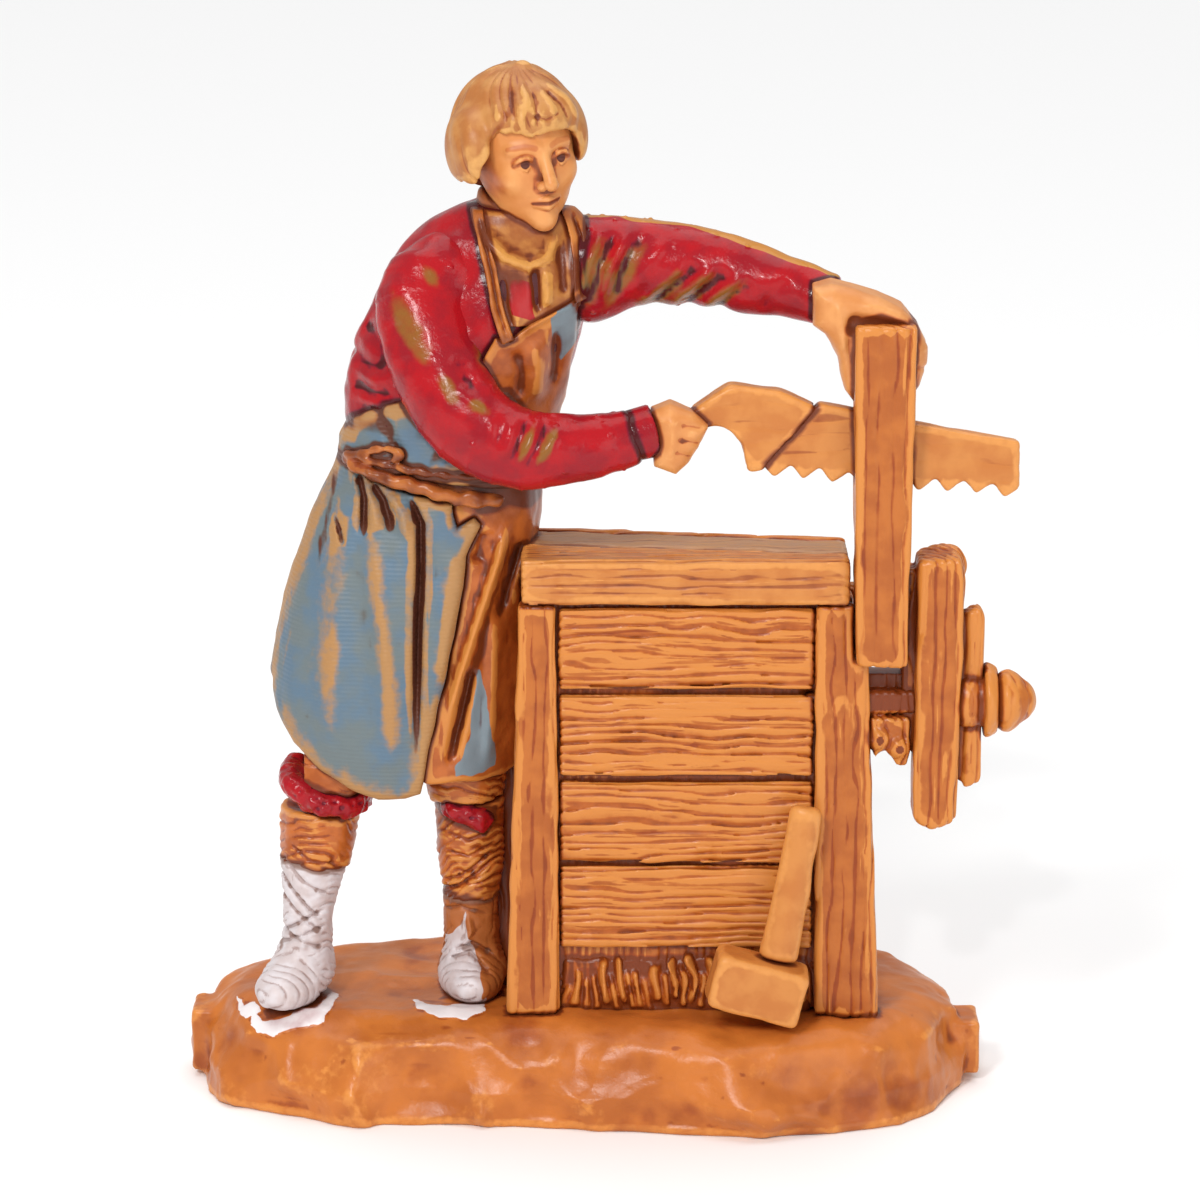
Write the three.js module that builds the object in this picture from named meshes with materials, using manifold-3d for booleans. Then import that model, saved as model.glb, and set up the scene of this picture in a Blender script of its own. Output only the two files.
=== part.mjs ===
// A small moulded-plastic crib figure: a carpenter saws a board that stands in the leg vise of a
// closed workbench. Figure, bench, vise and tools are glued together on one rock-shaped foot.
//
// Frame: millimetres, +Z up, origin on the table under the middle of the model, the viewer on the -Y
// side, the figure on the left (-X) and the vise on the right (+X).
// Every piece is a solid of its own. A piece gives way to the pieces placed before it, so the order of
// the place() calls says which of two touching pieces carries the socket for the other.

import * as THREE from "three";
import { mergeVertices } from "three/addons/utils/BufferGeometryUtils.js";
import Module from "manifold-3d";

const wasm = await Module();
wasm.setup();

// ---- Driving dimensions --------------------------------------------------------------------------

const GLUE_LINE = 0.12; // clearance round every piece
const MERGE = 1e-4; // vertices closer than this are one vertex
const ROUND_SIDES = 16; // sides of turned pieces
const LIMB_SIDES = 14; // sides of the figure's limbs
const EGG_SIDES = 14; // sides of the head and hands

const GROUND_TOP = 6.8; // where the figure stands
const BENCH = { left: -5.2, right: 16.8, front: -7.8, top: 39.0, railBottom: 35.9, foot: 5.6 };
const BENCH_BACK = { atLeft: 2.2, atRight: -0.8 }; // the top's rear edge runs askew
const PANEL_FACE = BENCH.front + 1.6; // the slats lie this far back on the core
const SLAT = { left: -2.6, right: 14.4, thick: 0.7 };
const SLAT_EDGES = [[35.3, 30.0], [29.2, 23.9], [23.1, 17.7], [17.1, 11.6]]; // top and bottom of each
const SCREW = { y: -6.2, z: 28.9, radius: 0.55 };
const SAW = { front: -7.1, back: -5.9 };
const BOARD = { left: 16.9, right: 21.0, bottom: 32.0, top: 55.2, front: -9.3, back: -5.0 };
const HEM = 21.3;
const WAIST = 44.4;

// ---- Solids --------------------------------------------------------------------------------------

// A three.js geometry as a solid that can be joined and cut.
function solid(geometry) {
  const bare = new THREE.BufferGeometry();
  bare.setAttribute("position", geometry.getAttribute("position"));
  bare.setIndex(geometry.getIndex());
  const merged = mergeVertices(bare, MERGE);
  return new wasm.Manifold(
    new wasm.Mesh({
      numProp: 3,
      vertProperties: merged.getAttribute("position").array,
      triVerts: new Uint32Array(merged.getIndex().array),
    }),
  );
}

// The same solid as a three.js geometry again.
function geometryOf(body) {
  const { numProp, vertProperties, triVerts, numVert } = body.getMesh();
  const positions = new Float32Array(numVert * 3);
  for (let i = 0; i < numVert; i += 1) {
    positions.set(vertProperties.subarray(i * numProp, i * numProp + 3), i * 3);
  }
  const geometry = new THREE.BufferGeometry();
  geometry.setAttribute("position", new THREE.BufferAttribute(positions, 3));
  geometry.setIndex(new THREE.BufferAttribute(new Uint32Array(triVerts), 1));
  geometry.computeVertexNormals();
  return geometry;
}

// An outline with each side moved outwards by `grow`, its corners mitred.
function grownOutline(outline, grow) {
  const points = outline.map(([u, v]) => new THREE.Vector2(u, v));
  const side = THREE.ShapeUtils.area(points) > 0 ? grow : -grow;
  const outward = points.map((point, i) => {
    const way = points[(i + 1) % points.length].clone().sub(point).normalize();
    return new THREE.Vector2(way.y, -way.x);
  });
  return points.map((point, i) => {
    const before = outward.at(i - 1);
    const mitre = before.clone().add(outward[i]);
    const stretch = side / Math.max(1 + before.dot(outward[i]), 0.4);
    return point.clone().addScaledVector(mitre, stretch);
  });
}

// A piece cut from sheet: an outline of [x, z] points that reaches from front to back along Y.
function slab(outline, front, back, grow = 0) {
  const shape = new THREE.Shape(grownOutline(outline, grow));
  const depth = back - front + 2 * grow;
  const geometry = new THREE.ExtrudeGeometry(shape, { depth, bevelEnabled: false });
  return solid(geometry.rotateX(Math.PI / 2).translate(0, back + grow, 0));
}

// A plate: an outline of [x, y] points that reaches from bottom to top along Z.
function plate(outline, bottom, top, grow = 0) {
  const shape = new THREE.Shape(grownOutline(outline, grow));
  const depth = top - bottom + 2 * grow;
  const geometry = new THREE.ExtrudeGeometry(shape, { depth, bevelEnabled: false });
  return solid(geometry.translate(0, 0, bottom - grow));
}

const rectangle = (u0, u1, v0, v1) => [[u0, v0], [u1, v0], [u1, v1], [u0, v1]];

// A disc or rod along X, turned from [distance along X, radius] stations.
function turned(stations, y, z, grow = 0, sides = ROUND_SIDES) {
  const last = stations.length - 1;
  const profile = stations.map(([x, radius], i) => {
    const along = i === 0 ? x - grow : i === last ? x + grow : x;
    return new THREE.Vector2(radius + grow, along);
  });
  profile.unshift(new THREE.Vector2(0, profile[0].y));
  profile.push(new THREE.Vector2(0, profile.at(-1).y));
  const geometry = new THREE.LatheGeometry(profile, sides);
  return solid(geometry.rotateZ(-Math.PI / 2).translate(0, y, z));
}

// A limb or garment: an oval section swept along a smooth line. Each station is
// [x, y, z, halfWidth, halfDepth], where the depth stays as near to Y as the line allows.
function limb(stations, grow = 0, sides = LIMB_SIDES, rows = (stations.length - 1) * 2) {
  const line = new THREE.CatmullRomCurve3(stations.map(([x, y, z]) => new THREE.Vector3(x, y, z)));
  const sizes = new THREE.CatmullRomCurve3(stations.map(([, , , w, d]) => new THREE.Vector3(w, d, 0)));
  const geometry = new THREE.CylinderGeometry(1, 1, 1, sides, rows);
  const position = geometry.getAttribute("position");
  const point = new THREE.Vector3();
  const depthWay = new THREE.Vector3();
  const widthWay = new THREE.Vector3();
  for (let i = 0; i < position.count; i += 1) {
    const share = THREE.MathUtils.clamp(position.getY(i) + 0.5, 0, 1);
    const way = line.getTangent(share);
    const size = sizes.getPoint(share);
    depthWay.set(0, 1, 0).addScaledVector(way, -way.y).normalize();
    widthWay.crossVectors(way, depthWay);
    point.copy(line.getPoint(share));
    if (share === 0) point.addScaledVector(way, -grow);
    if (share === 1) point.addScaledVector(way, grow);
    point.addScaledVector(widthWay, position.getX(i) * (size.x + grow));
    point.addScaledVector(depthWay, position.getZ(i) * (size.y + grow));
    position.setXYZ(i, point.x, point.y, point.z);
  }
  return solid(geometry);
}

// An egg-shaped solid, turned by `turn` degrees about X, Y and Z.
function egg(centre, radii, turn = [0, 0, 0], grow = 0, sides = EGG_SIDES) {
  const geometry = new THREE.SphereGeometry(1, sides, Math.round(sides * 0.6));
  const angles = turn.map(THREE.MathUtils.degToRad);
  const matrix = new THREE.Matrix4().compose(
    new THREE.Vector3(...centre),
    new THREE.Quaternion().setFromEuler(new THREE.Euler(...angles, "ZYX")),
    new THREE.Vector3(...radii.map((r) => r + grow)),
  );
  return solid(geometry.rotateX(Math.PI / 2).applyMatrix4(matrix));
}

// ---- Paints --------------------------------------------------------------------------------------

function paint(color, roughness = 0.42) {
  return new THREE.MeshStandardMaterial({ color, roughness, metalness: 0 });
}

const PAINTS = {
  rock: paint(0xb5703a, 0.38),
  timber: paint(0xc47c3e, 0.4),
  bare: paint(0xd89a5e, 0.45),
  skin: paint(0xdb9a62, 0.45),
  hair: paint(0xc48a48, 0.42),
  red: paint(0xb3202a, 0.32),
  blue: paint(0x7d8f9b, 0.55),
  brown: paint(0xa9632f, 0.36),
  white: paint(0xd5cfd2, 0.5),
};

// ---- Assembly ------------------------------------------------------------------------------------

const model = new THREE.Group();
const placed = [];

const boxesMeet = (a, b) =>
  [0, 1, 2].every((axis) => a.min[axis] < b.max[axis] && b.min[axis] < a.max[axis]);

// Adds a piece. shape(grow) gives its solid, grown outwards by `grow`. The piece is cut back a glue
// line's width from each piece placed before it, and the largest part that is left is kept.
function place(name, color, shape) {
  let body = shape(0);
  for (const other of placed) {
    if (boxesMeet(body.boundingBox(), other.grown.boundingBox())) body = body.subtract(other.grown);
  }
  const parts = body.decompose().sort((a, b) => b.volume() - a.volume());
  const mesh = new THREE.Mesh(geometryOf(parts[0]), PAINTS[color]);
  mesh.name = name;
  model.add(mesh);
  placed.push({ grown: shape(GLUE_LINE) });
}

// ---- Foot ----------------------------------------------------------------------------------------

// The plan of the rock, anticlockwise from its left end.
const ROCK_PLAN = [
  [-28.0, 0.5], [-26.4, -5.4], [-21.0, -9.2], [-12.0, -10.4], [-2.0, -11.6], [7.0, -13.0],
  [15.0, -12.7], [21.4, -9.6], [24.8, -3.5], [24.8, 3.0], [21.2, 9.4], [12.0, 12.5],
  [0.0, 13.2], [-12.0, 12.6], [-22.0, 9.6], [-26.8, 5.4],
];
const ROCK_SIDES = 40;
// Share of the plan's size and height of each ring, from the underside's edge to the top.
const ROCK_RINGS = [
  [0.965, 0], [1.0, 1.6], [0.99, 3.4], [0.93, 5.2], [0.84, 6.2], [0.7, 6.7], [0.35, GROUND_TOP],
];

function rock(grow) {
  const plan = new THREE.CatmullRomCurve3(
    ROCK_PLAN.map(([x, y]) => new THREE.Vector3(x, y, 0)),
    true,
  );
  const profile = [new THREE.Vector2(0, 0)];
  ROCK_RINGS.forEach((ring, i) => profile.push(new THREE.Vector2(i + 1, ring[1])));
  profile.push(new THREE.Vector2(0, GROUND_TOP));
  const geometry = new THREE.LatheGeometry(profile, ROCK_SIDES);
  const position = geometry.getAttribute("position");
  for (let i = 0; i < position.count; i += 1) {
    const [x, height, z] = [position.getX(i), position.getY(i), position.getZ(i)];
    const ring = Math.round(Math.hypot(x, z));
    const turn = Math.atan2(x, z) / (2 * Math.PI);
    const edge = plan.getPoint((turn + 1) % 1);
    const size = ring ? ROCK_RINGS[ring - 1][0] + grow / 20 : 0;
    const lift = height > 0 ? grow : -grow;
    position.setXYZ(i, edge.x * size, edge.y * size, height + lift);
  }
  return solid(geometry);
}

// The stubs of the moulding gates, left where the foot was cut from its sprue.
const LEFT_GATE = { front: -1.2, back: 2.6, outline: rectangle(-28.6, -27.2, 0.4, 4.9) };
const RIGHT_GATE = { front: -2.4, back: 1.6, outline: rectangle(24.0, 26.6, 0.6, 4.4) };

place("ground_foot", "rock", (grow) =>
  [LEFT_GATE, RIGHT_GATE].reduce(
    (sum, gate) => sum.add(slab(gate.outline, gate.front, gate.back, grow)),
    rock(grow),
  ),
);

// ---- Saw and board -------------------------------------------------------------------------------

const TOOTH = { first: 11.7, pitch: 1.93, count: 9, deep: 0.85 };
const SAW_HEEL = [11.0, 45.5];
const SAW_SHOULDER = [14.7, 49.5];
const TOOTH_LINE = { start: 44.7, slope: -0.085 }; // the tips fall towards the toe

function sawBladeOutline() {
  const teeth = [];
  for (let i = 0; i < TOOTH.count; i += 1) {
    const x = TOOTH.first + i * TOOTH.pitch;
    const tip = TOOTH_LINE.start + (x - TOOTH.first) * TOOTH_LINE.slope;
    teeth.push([x, tip]);
    if (i < TOOTH.count - 1) teeth.push([x + TOOTH.pitch * 0.6, tip + TOOTH.deep]);
  }
  return [SAW_HEEL, ...teeth, [28.0, 43.9], [27.9, 46.9], [21.3, 48.1], SAW_SHOULDER];
}

const SAW_HANDLE = [
  [6.1, 49.0], [6.8, 47.9], [7.7, 48.2], [8.8, 47.9], [9.6, 46.9], [10.0, 45.1], [10.9, 45.3],
  [14.5, 49.3], [11.9, 50.4], [8.7, 50.8],
];

place("saw_blade", "bare", (grow) => slab(sawBladeOutline(), SAW.front, SAW.back, grow));
place("saw_handle", "bare", (grow) => slab(SAW_HANDLE, SAW.front - 0.2, SAW.back + 0.2, grow));

const BOARD_OUTLINE = [
  [17.3, BOARD.bottom], [20.6, BOARD.bottom], [BOARD.right, BOARD.top], [BOARD.left, BOARD.top],
];
place("board", "timber", (grow) => slab(BOARD_OUTLINE, BOARD.front, BOARD.back, grow));

// ---- Vise ----------------------------------------------------------------------------------------

const CHOP = [[21.3, 20.8], [22.6, 20.1], [24.2, 20.8], [24.6, 37.8], [24.2, 39.2], [21.4, 39.1]];
const BRACKET = [
  [18.3, 27.9], [21.2, 27.9], [20.9, 24.6], [20.2, 24.4], [19.7, 25.6], [19.1, 25.6], [18.7, 24.4],
];
const BAR = [[24.75, 22.8], [25.9, 23.4], [26.0, 34.9], [25.6, 35.6], [24.75, 35.2]];

const screw = (stations) => (grow) => turned(stations, SCREW.y, SCREW.z, grow);

place("vise_screw", "timber", screw([[14.0, SCREW.radius], [27.6, SCREW.radius]]));
place("vise_chop", "timber", (grow) => slab(CHOP, -8.2, -4.2, grow));
place("vise_bracket", "brown", (grow) => slab(BRACKET, -7.2, -5.2, grow));
place("vise_bar", "timber", (grow) => slab(BAR, -7.1, -5.3, grow));
place("vise_flange", "timber", screw([[26.15, 2.55], [26.9, 2.2]]));
place("vise_knob", "timber", screw([[27.05, 1.7], [27.6, 2.1], [28.3, 1.7], [28.6, 0.8]]));

// ---- Bench ---------------------------------------------------------------------------------------

// Where the bench's rear face is at a distance along X, `inside` of the top's rear edge.
function rearFace(x, inside = 0) {
  const share = (x - BENCH.left) / (BENCH.right - BENCH.left);
  return THREE.MathUtils.lerp(BENCH_BACK.atLeft, BENCH_BACK.atRight, share) - inside;
}

// The plan of a piece that lies along the askew rear face, between two depths inside it.
function rearPlan(left, right, outer, inner) {
  return [
    [left, rearFace(left, inner)], [right, rearFace(right, inner)],
    [right, rearFace(right, outer)], [left, rearFace(left, outer)],
  ];
}

const CORE = { left: BENCH.left + 0.6, right: BENCH.right - 0.2, top: BENCH.railBottom };
const POSTS = {
  left: { top: [-5.4, -3.0], foot: [-6.4, -2.7] },
  right: { top: [14.6, 18.0], foot: [14.8, 19.2] },
};
const RAIL_DEPTH = { atLeft: 5.1, atRight: 2.2 }; // the front rail tapers in plan
const PLANK_GAP = 0.15;

const postOutline = ({ top, foot }) => [
  [foot[0], BENCH.foot], [foot[1], BENCH.foot], [top[1], BENCH.railBottom], [top[0], BENCH.railBottom],
];

place("bench_core", "timber", (grow) => {
  const plan = [
    [CORE.left, PANEL_FACE], [CORE.right, PANEL_FACE],
    [CORE.right, rearFace(CORE.right, 1.4)], [CORE.left, rearFace(CORE.left, 1.4)],
  ];
  return plate(plan, BENCH.foot, CORE.top, grow);
});

place("bench_rail_front", "timber", (grow) => {
  const plan = [
    [BENCH.left, BENCH.front], [BENCH.right, BENCH.front],
    [BENCH.right, BENCH.front + RAIL_DEPTH.atRight], [BENCH.left, BENCH.front + RAIL_DEPTH.atLeft],
  ];
  return plate(plan, BENCH.railBottom, BENCH.top, grow);
});

place("bench_top_plank", "timber", (grow) => {
  const plan = [
    [BENCH.left, BENCH.front + RAIL_DEPTH.atLeft + PLANK_GAP],
    [BENCH.right, BENCH.front + RAIL_DEPTH.atRight + PLANK_GAP],
    [BENCH.right, rearFace(BENCH.right, 1.0)], [BENCH.left, rearFace(BENCH.left, 1.0)],
  ];
  return plate(plan, BENCH.railBottom, BENCH.top, grow);
});

place("bench_rail_back", "timber", (grow) =>
  plate(rearPlan(BENCH.left, BENCH.right, 0, 1.0 - PLANK_GAP), BENCH.railBottom, BENCH.top, grow),
);

for (const [side, post] of Object.entries(POSTS)) {
  place(`bench_post_front_${side}`, "timber", (grow) =>
    slab(postOutline(post), BENCH.front + 0.2, PANEL_FACE + 0.5, grow),
  );
  place(`bench_post_back_${side}`, "timber", (grow) =>
    plate(rearPlan(...post.top, 0.1, 2.0), BENCH.foot, BENCH.railBottom, grow),
  );
}

SLAT_EDGES.forEach(([top, bottom], i) => {
  place(`front_slat_${i + 1}`, "timber", (grow) =>
    slab(rectangle(SLAT.left, SLAT.right, bottom, top), PANEL_FACE - SLAT.thick, PANEL_FACE, grow),
  );
  place(`back_slat_${i + 1}`, "timber", (grow) =>
    plate(rearPlan(SLAT.left, SLAT.right, 0.7, 0.7 + SLAT.thick), bottom, top, grow),
  );
});

const SIDE_PANELS = {
  left: [BENCH.left, CORE.left],
  right: [CORE.right, CORE.right + 0.6],
};
for (const [side, [from, to]] of Object.entries(SIDE_PANELS)) {
  place(`side_panel_${side}`, "timber", (grow) => {
    const plan = rectangle(from, to, PANEL_FACE + 0.7, rearFace(to, 2.2));
    return plate(plan, BENCH.foot, BENCH.railBottom, grow);
  });
}

// A low heap along the foot of the bench, under the lowest slat.
const SHAVINGS = [
  [-2.2, -6.7, 8.6, 1.2, 0.5], [3.0, -6.9, 9.2, 2.0, 0.8], [8.5, -6.8, 8.9, 1.7, 0.7],
  [14.0, -6.7, 8.4, 1.2, 0.5],
];
place("wood_shavings", "brown", (grow) => limb(SHAVINGS, grow, 10));

// ---- Mallet --------------------------------------------------------------------------------------

const MALLET_TILT = -15;
const MALLET_HANDLE = [
  [12.15, -9.6, 11.6, 1.3, 0.75], [13.1, -9.1, 16.6, 1.15, 0.7], [14.05, -8.6, 21.9, 1.0, 0.65],
];
const MALLET_HEAD = { middle: [10.75, -9.9, 9.75], size: [6.2, 3.4, 3.6] };

function tilted(geometry, tilt, middle) {
  return solid(geometry.rotateY(THREE.MathUtils.degToRad(-tilt)).translate(...middle));
}

place("mallet_handle", "bare", (grow) => limb(MALLET_HANDLE, grow, 8));
place("mallet_head", "bare", (grow) => {
  const size = MALLET_HEAD.size.map((length) => length + 2 * grow);
  return tilted(new THREE.BoxGeometry(...size), MALLET_TILT, MALLET_HEAD.middle);
});

// ---- Figure: hips, legs and feet -----------------------------------------------------------------

const SKIRT = [
  [-12.6, -1.0, HEM, 6.0, 5.6], [-13.6, -1.0, 23.4, 7.1, 6.3], [-13.9, -1.0, 26.4, 7.4, 6.6],
  [-13.5, -0.9, 31.0, 7.2, 6.5], [-12.1, -0.7, 36.6, 7.4, 6.1], [-11.0, -0.5, 41.0, 7.0, 5.7],
  [-10.5, -0.3, WAIST, 6.3, 5.1],
];
const UNDER_SKIRT = [[-12.6, -1.0, HEM - 3, 5.0, 4.6], [-13.2, -1.0, HEM + 2.6, 5.6, 4.9]];
const APRON_THICK = 0.75;
// The apron wraps the front and the right hip. Its free edge runs from the waist down to the hem.
const APRON_SPREAD = [[-26, HEM - 3], [-12.2, HEM - 3], [-10.6, 30], [-6.9, 41.5], [-3.0, 46], [-26, 46]];
const APRON_BACK_EDGE = 1.6;

const skirt = (grow) => limb(SKIRT, grow).subtract(limb(UNDER_SKIRT, -grow));
place("tunic_skirt", "brown", skirt);
place("apron_skirt", "blue", (grow) =>
  limb(SKIRT, APRON_THICK + grow)
    .subtract(limb(UNDER_SKIRT, -grow))
    .intersect(slab(APRON_SPREAD, -12, APRON_BACK_EDGE, grow)),
);

// Breeches, stocking and shoe of each leg. `right` is the figure's own right, on the viewer's left.
const LEGS = {
  right: {
    breeches: [[-18.7, -2.6, 20.6, 2.9, 3.0], [-18.3, -2.4, 22.6, 3.0, 3.1], [-17.6, -2.0, 26.0, 2.6, 2.7]],
    garter: [[-19.0, -2.7, 19.3, 2.75, 2.8], [-18.9, -2.7, 20.4, 2.95, 3.0]],
    stocking: [[-19.5, -2.9, 16.9, 2.55, 2.6], [-19.1, -2.8, 19.1, 2.7, 2.7]],
    shin: [[-20.4, -2.2, 8.4, 2.0, 2.4], [-20.0, -2.6, 12.6, 1.9, 2.1], [-19.6, -2.9, 16.7, 2.5, 2.5]],
    foot: { middle: [-21.3, -3.9, 7.9], turn: -20 },
  },
  left: {
    breeches: [[-9.3, -1.4, 20.6, 2.6, 2.8], [-9.4, -1.3, 22.6, 2.7, 2.9], [-9.8, -1.1, 26.0, 2.4, 2.6]],
    garter: [[-9.2, -1.4, 19.3, 2.35, 2.5], [-9.2, -1.4, 20.4, 2.55, 2.7]],
    stocking: [[-9.1, -1.3, 14.4, 1.95, 2.2], [-9.1, -1.4, 19.1, 2.2, 2.4]],
    shin: [[-9.0, -0.8, 8.0, 1.9, 2.3], [-9.0, -1.0, 11.0, 1.8, 2.1], [-9.1, -1.3, 14.2, 1.9, 2.1]],
    foot: { middle: [-8.9, -1.9, 7.7], turn: 4 },
  },
};
const FOOT_RADII = [2.2, 3.9, 1.7];

for (const [side, leg] of Object.entries(LEGS)) {
  place(`breeches_${side}`, "brown", (grow) => limb(leg.breeches, grow));
  place(`garter_${side}`, "red", (grow) => limb(leg.garter, grow));
  place(`stocking_${side}`, "brown", (grow) => limb(leg.stocking, grow));
  place(`shoe_${side}`, "white", (grow) =>
    limb(leg.shin, grow).add(egg(leg.foot.middle, FOOT_RADII, [0, 0, leg.foot.turn], grow)),
  );
}

// ---- Figure: trunk -------------------------------------------------------------------------------

const TORSO = [
  [-10.4, -0.3, WAIST + 0.2, 6.4, 5.2], [-9.9, -0.4, 49.0, 7.5, 5.9], [-8.9, -0.7, 53.0, 7.5, 5.9],
  [-7.6, -0.9, 56.4, 7.2, 5.3], [-6.7, -1.0, 59.0, 6.1, 4.5], [-6.0, -1.1, 61.0, 3.7, 3.3],
];
const CLOTH_THICK = 0.55;
const BIB = [[-11.5, 44.9], [-1.6, 44.9], [-1.0, 56.4], [-6.3, 54.8]];
const STRAPS = {
  right: [[-9.0, 62.0], [-7.5, 62.0], [-5.4, 55.2], [-7.2, 54.2]],
  left: [[-4.0, 62.0], [-2.2, 61.0], [-1.2, 56.6], [-2.8, 56.2]],
};
const CHEST_FRONT = -12;
const CHEST_MIDDLE = -1.5;
const NECK = [[-6.3, -0.9, 58.6, 2.1, 2.1], [-5.9, -1.5, 61.0, 2.1, 2.1], [-5.6, -2.0, 63.0, 2.1, 2.2]];
const COLLAR = [[-6.0, -1.2, 60.4, 3.2, 3.1], [-5.9, -1.6, 62.0, 2.6, 2.6]];
const WAISTBAND = [[-10.6, -0.4, WAIST - 1.1, 7.3, 5.9], [-10.3, -0.4, WAIST + 0.5, 7.1, 5.8]];
const KNOT = { middle: [-16.3, -3.6, 44.9], radii: [1.7, 1.1, 0.9], turn: [0, 15, 20] };

place("neck", "skin", (grow) => limb(NECK, grow));
place("tunic_torso", "red", (grow) => limb(TORSO, grow));

const onTheChest = (outline) => (grow) =>
  limb(TORSO, CLOTH_THICK + grow).intersect(slab(outline, CHEST_FRONT, CHEST_MIDDLE, grow));

place("apron_bib", "brown", onTheChest(BIB));
place("bib_strap_right", "brown", onTheChest(STRAPS.right));
place("bib_strap_left", "brown", onTheChest(STRAPS.left));
place("shirt_collar", "bare", (grow) => limb(COLLAR, grow));
place("apron_waistband", "brown", (grow) => limb(WAISTBAND, grow));
place("apron_knot", "brown", (grow) => egg(KNOT.middle, KNOT.radii, KNOT.turn, grow, 10));

// ---- Figure: arms and hands ----------------------------------------------------------------------

// The right hand is a fist round the saw's handle: four fingers lie across its front.
const FIST = { middle: [4.9, -7.2, 47.7], radii: [2.0, 1.6, 2.2], turn: [0, 10, 0] };
const FIST_FINGERS = { top: 49.2, pitch: 1.1, count: 4, radius: 0.62 };
// The left hand lies over the board's end: the thumb in front, three fingers down its far side.
const GRIP = { middle: [18.5, -5.4, 55.9], radii: [3.2, 2.6, 1.6], turn: [0, 14, 0] };
const THUMB = [[16.0, -5.8, 56.2, 0.9, 0.9], [16.0, -7.4, 55.0, 0.85, 0.85], [16.2, -8.1, 52.8, 0.7, 0.7]];
const GRIP_FINGERS = { front: -7.4, pitch: 1.4, count: 3, radius: 0.72 };
const SLEEVE_RIGHT = [
  [-11.6, -3.0, 58.4, 2.2, 2.3], [-11.9, -4.4, 55.6, 3.1, 2.9], [-10.6, -6.2, 51.2, 3.1, 2.8],
  [-8.3, -7.7, 48.3, 3.0, 2.6], [-5.3, -8.5, 46.9, 2.7, 2.3], [-2.4, -8.7, 46.9, 2.4, 2.1],
  [0.4, -8.4, 47.2, 2.05, 1.95], [2.4, -8.1, 47.7, 1.8, 1.8],
];
const CUFF_RIGHT = [[2.5, -8.1, 47.75, 1.9, 1.9], [3.4, -7.9, 47.95, 1.9, 1.9]];
const SLEEVE_LEFT = [
  [-2.6, -1.0, 58.1, 3.2, 2.9], [1.0, -1.2, 58.5, 2.9, 2.7], [6.7, -1.7, 58.2, 2.6, 2.4],
  [11.2, -2.6, 57.3, 2.1, 2.0], [15.4, -3.8, 56.1, 1.6, 1.6],
];

// A hand's palm joined with its fingers, each a list of stations.
function hand(palm, fingers, grow) {
  return fingers.reduce(
    (sum, finger) => sum.add(limb(finger, grow, 8)),
    egg(palm.middle, palm.radii, palm.turn, grow),
  );
}

const fistFingers = Array.from({ length: FIST_FINGERS.count }, (_, i) => {
  const { top, pitch, radius } = FIST_FINGERS;
  const z = top - i * pitch;
  return [
    [4.2, -8.2, z - 0.1, radius, radius], [5.6, -8.7, z, radius, radius],
    [6.7, -8.0, z, radius, radius],
  ];
});

const gripFingers = Array.from({ length: GRIP_FINGERS.count }, (_, i) => {
  const { front, pitch, radius } = GRIP_FINGERS;
  const y = front + i * pitch;
  const length = 0.5 * i;
  return [
    [20.0, y + 0.4, 56.2, radius, radius], [21.5, y, 55.0, radius, radius],
    [21.8, y, 52.4 - length, 0.85 * radius, 0.85 * radius],
  ];
});

place("sleeve_right", "red", (grow) => limb(SLEEVE_RIGHT, grow));
place("cuff_right", "red", (grow) => limb(CUFF_RIGHT, grow));
place("hand_right", "skin", (grow) => hand(FIST, fistFingers, grow));
place("sleeve_left", "red", (grow) => limb(SLEEVE_LEFT, grow));
place("hand_left", "skin", (grow) => hand(GRIP, [THUMB, ...gripFingers], grow));

// ---- Figure: head --------------------------------------------------------------------------------

const HEAD = { middle: [-5.2, -2.4, 65.6], radii: [3.7, 4.3, 5.1], turn: [-12, 4, 22] };
const HAIR = { middle: [-5.5, -1.3, 66.7], radii: [4.9, 5.2, 5.0], turn: [-10, 4, 22] };
// The opening of the hair over the face, seen from the front.
const FACE_OPENING = [[-7.9, 58], [0.5, 58], [0.5, 64.8], [-1.6, 69.0], [-4.6, 69.8], [-7.6, 67.0]];

place("head", "skin", (grow) => egg(HEAD.middle, HEAD.radii, HEAD.turn, grow));
place("hair", "hair", (grow) =>
  egg(HAIR.middle, HAIR.radii, HAIR.turn, grow).subtract(slab(FACE_OPENING, -10, -1.8, -grow)),
);

export default model;
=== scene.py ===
"""A small painted plastic crib figure: a carpenter saws a board held in the leg vise of a workbench.

Every visible piece is sculpted as a distance field in millimetres, in the frame's own axes (+Z up, the
viewer on the -Y side), and meshed where the field is zero. Paint, wash, wear and painted shade are
numbers on the points of each mesh, which the node materials turn into colour.
"""

import math

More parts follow.
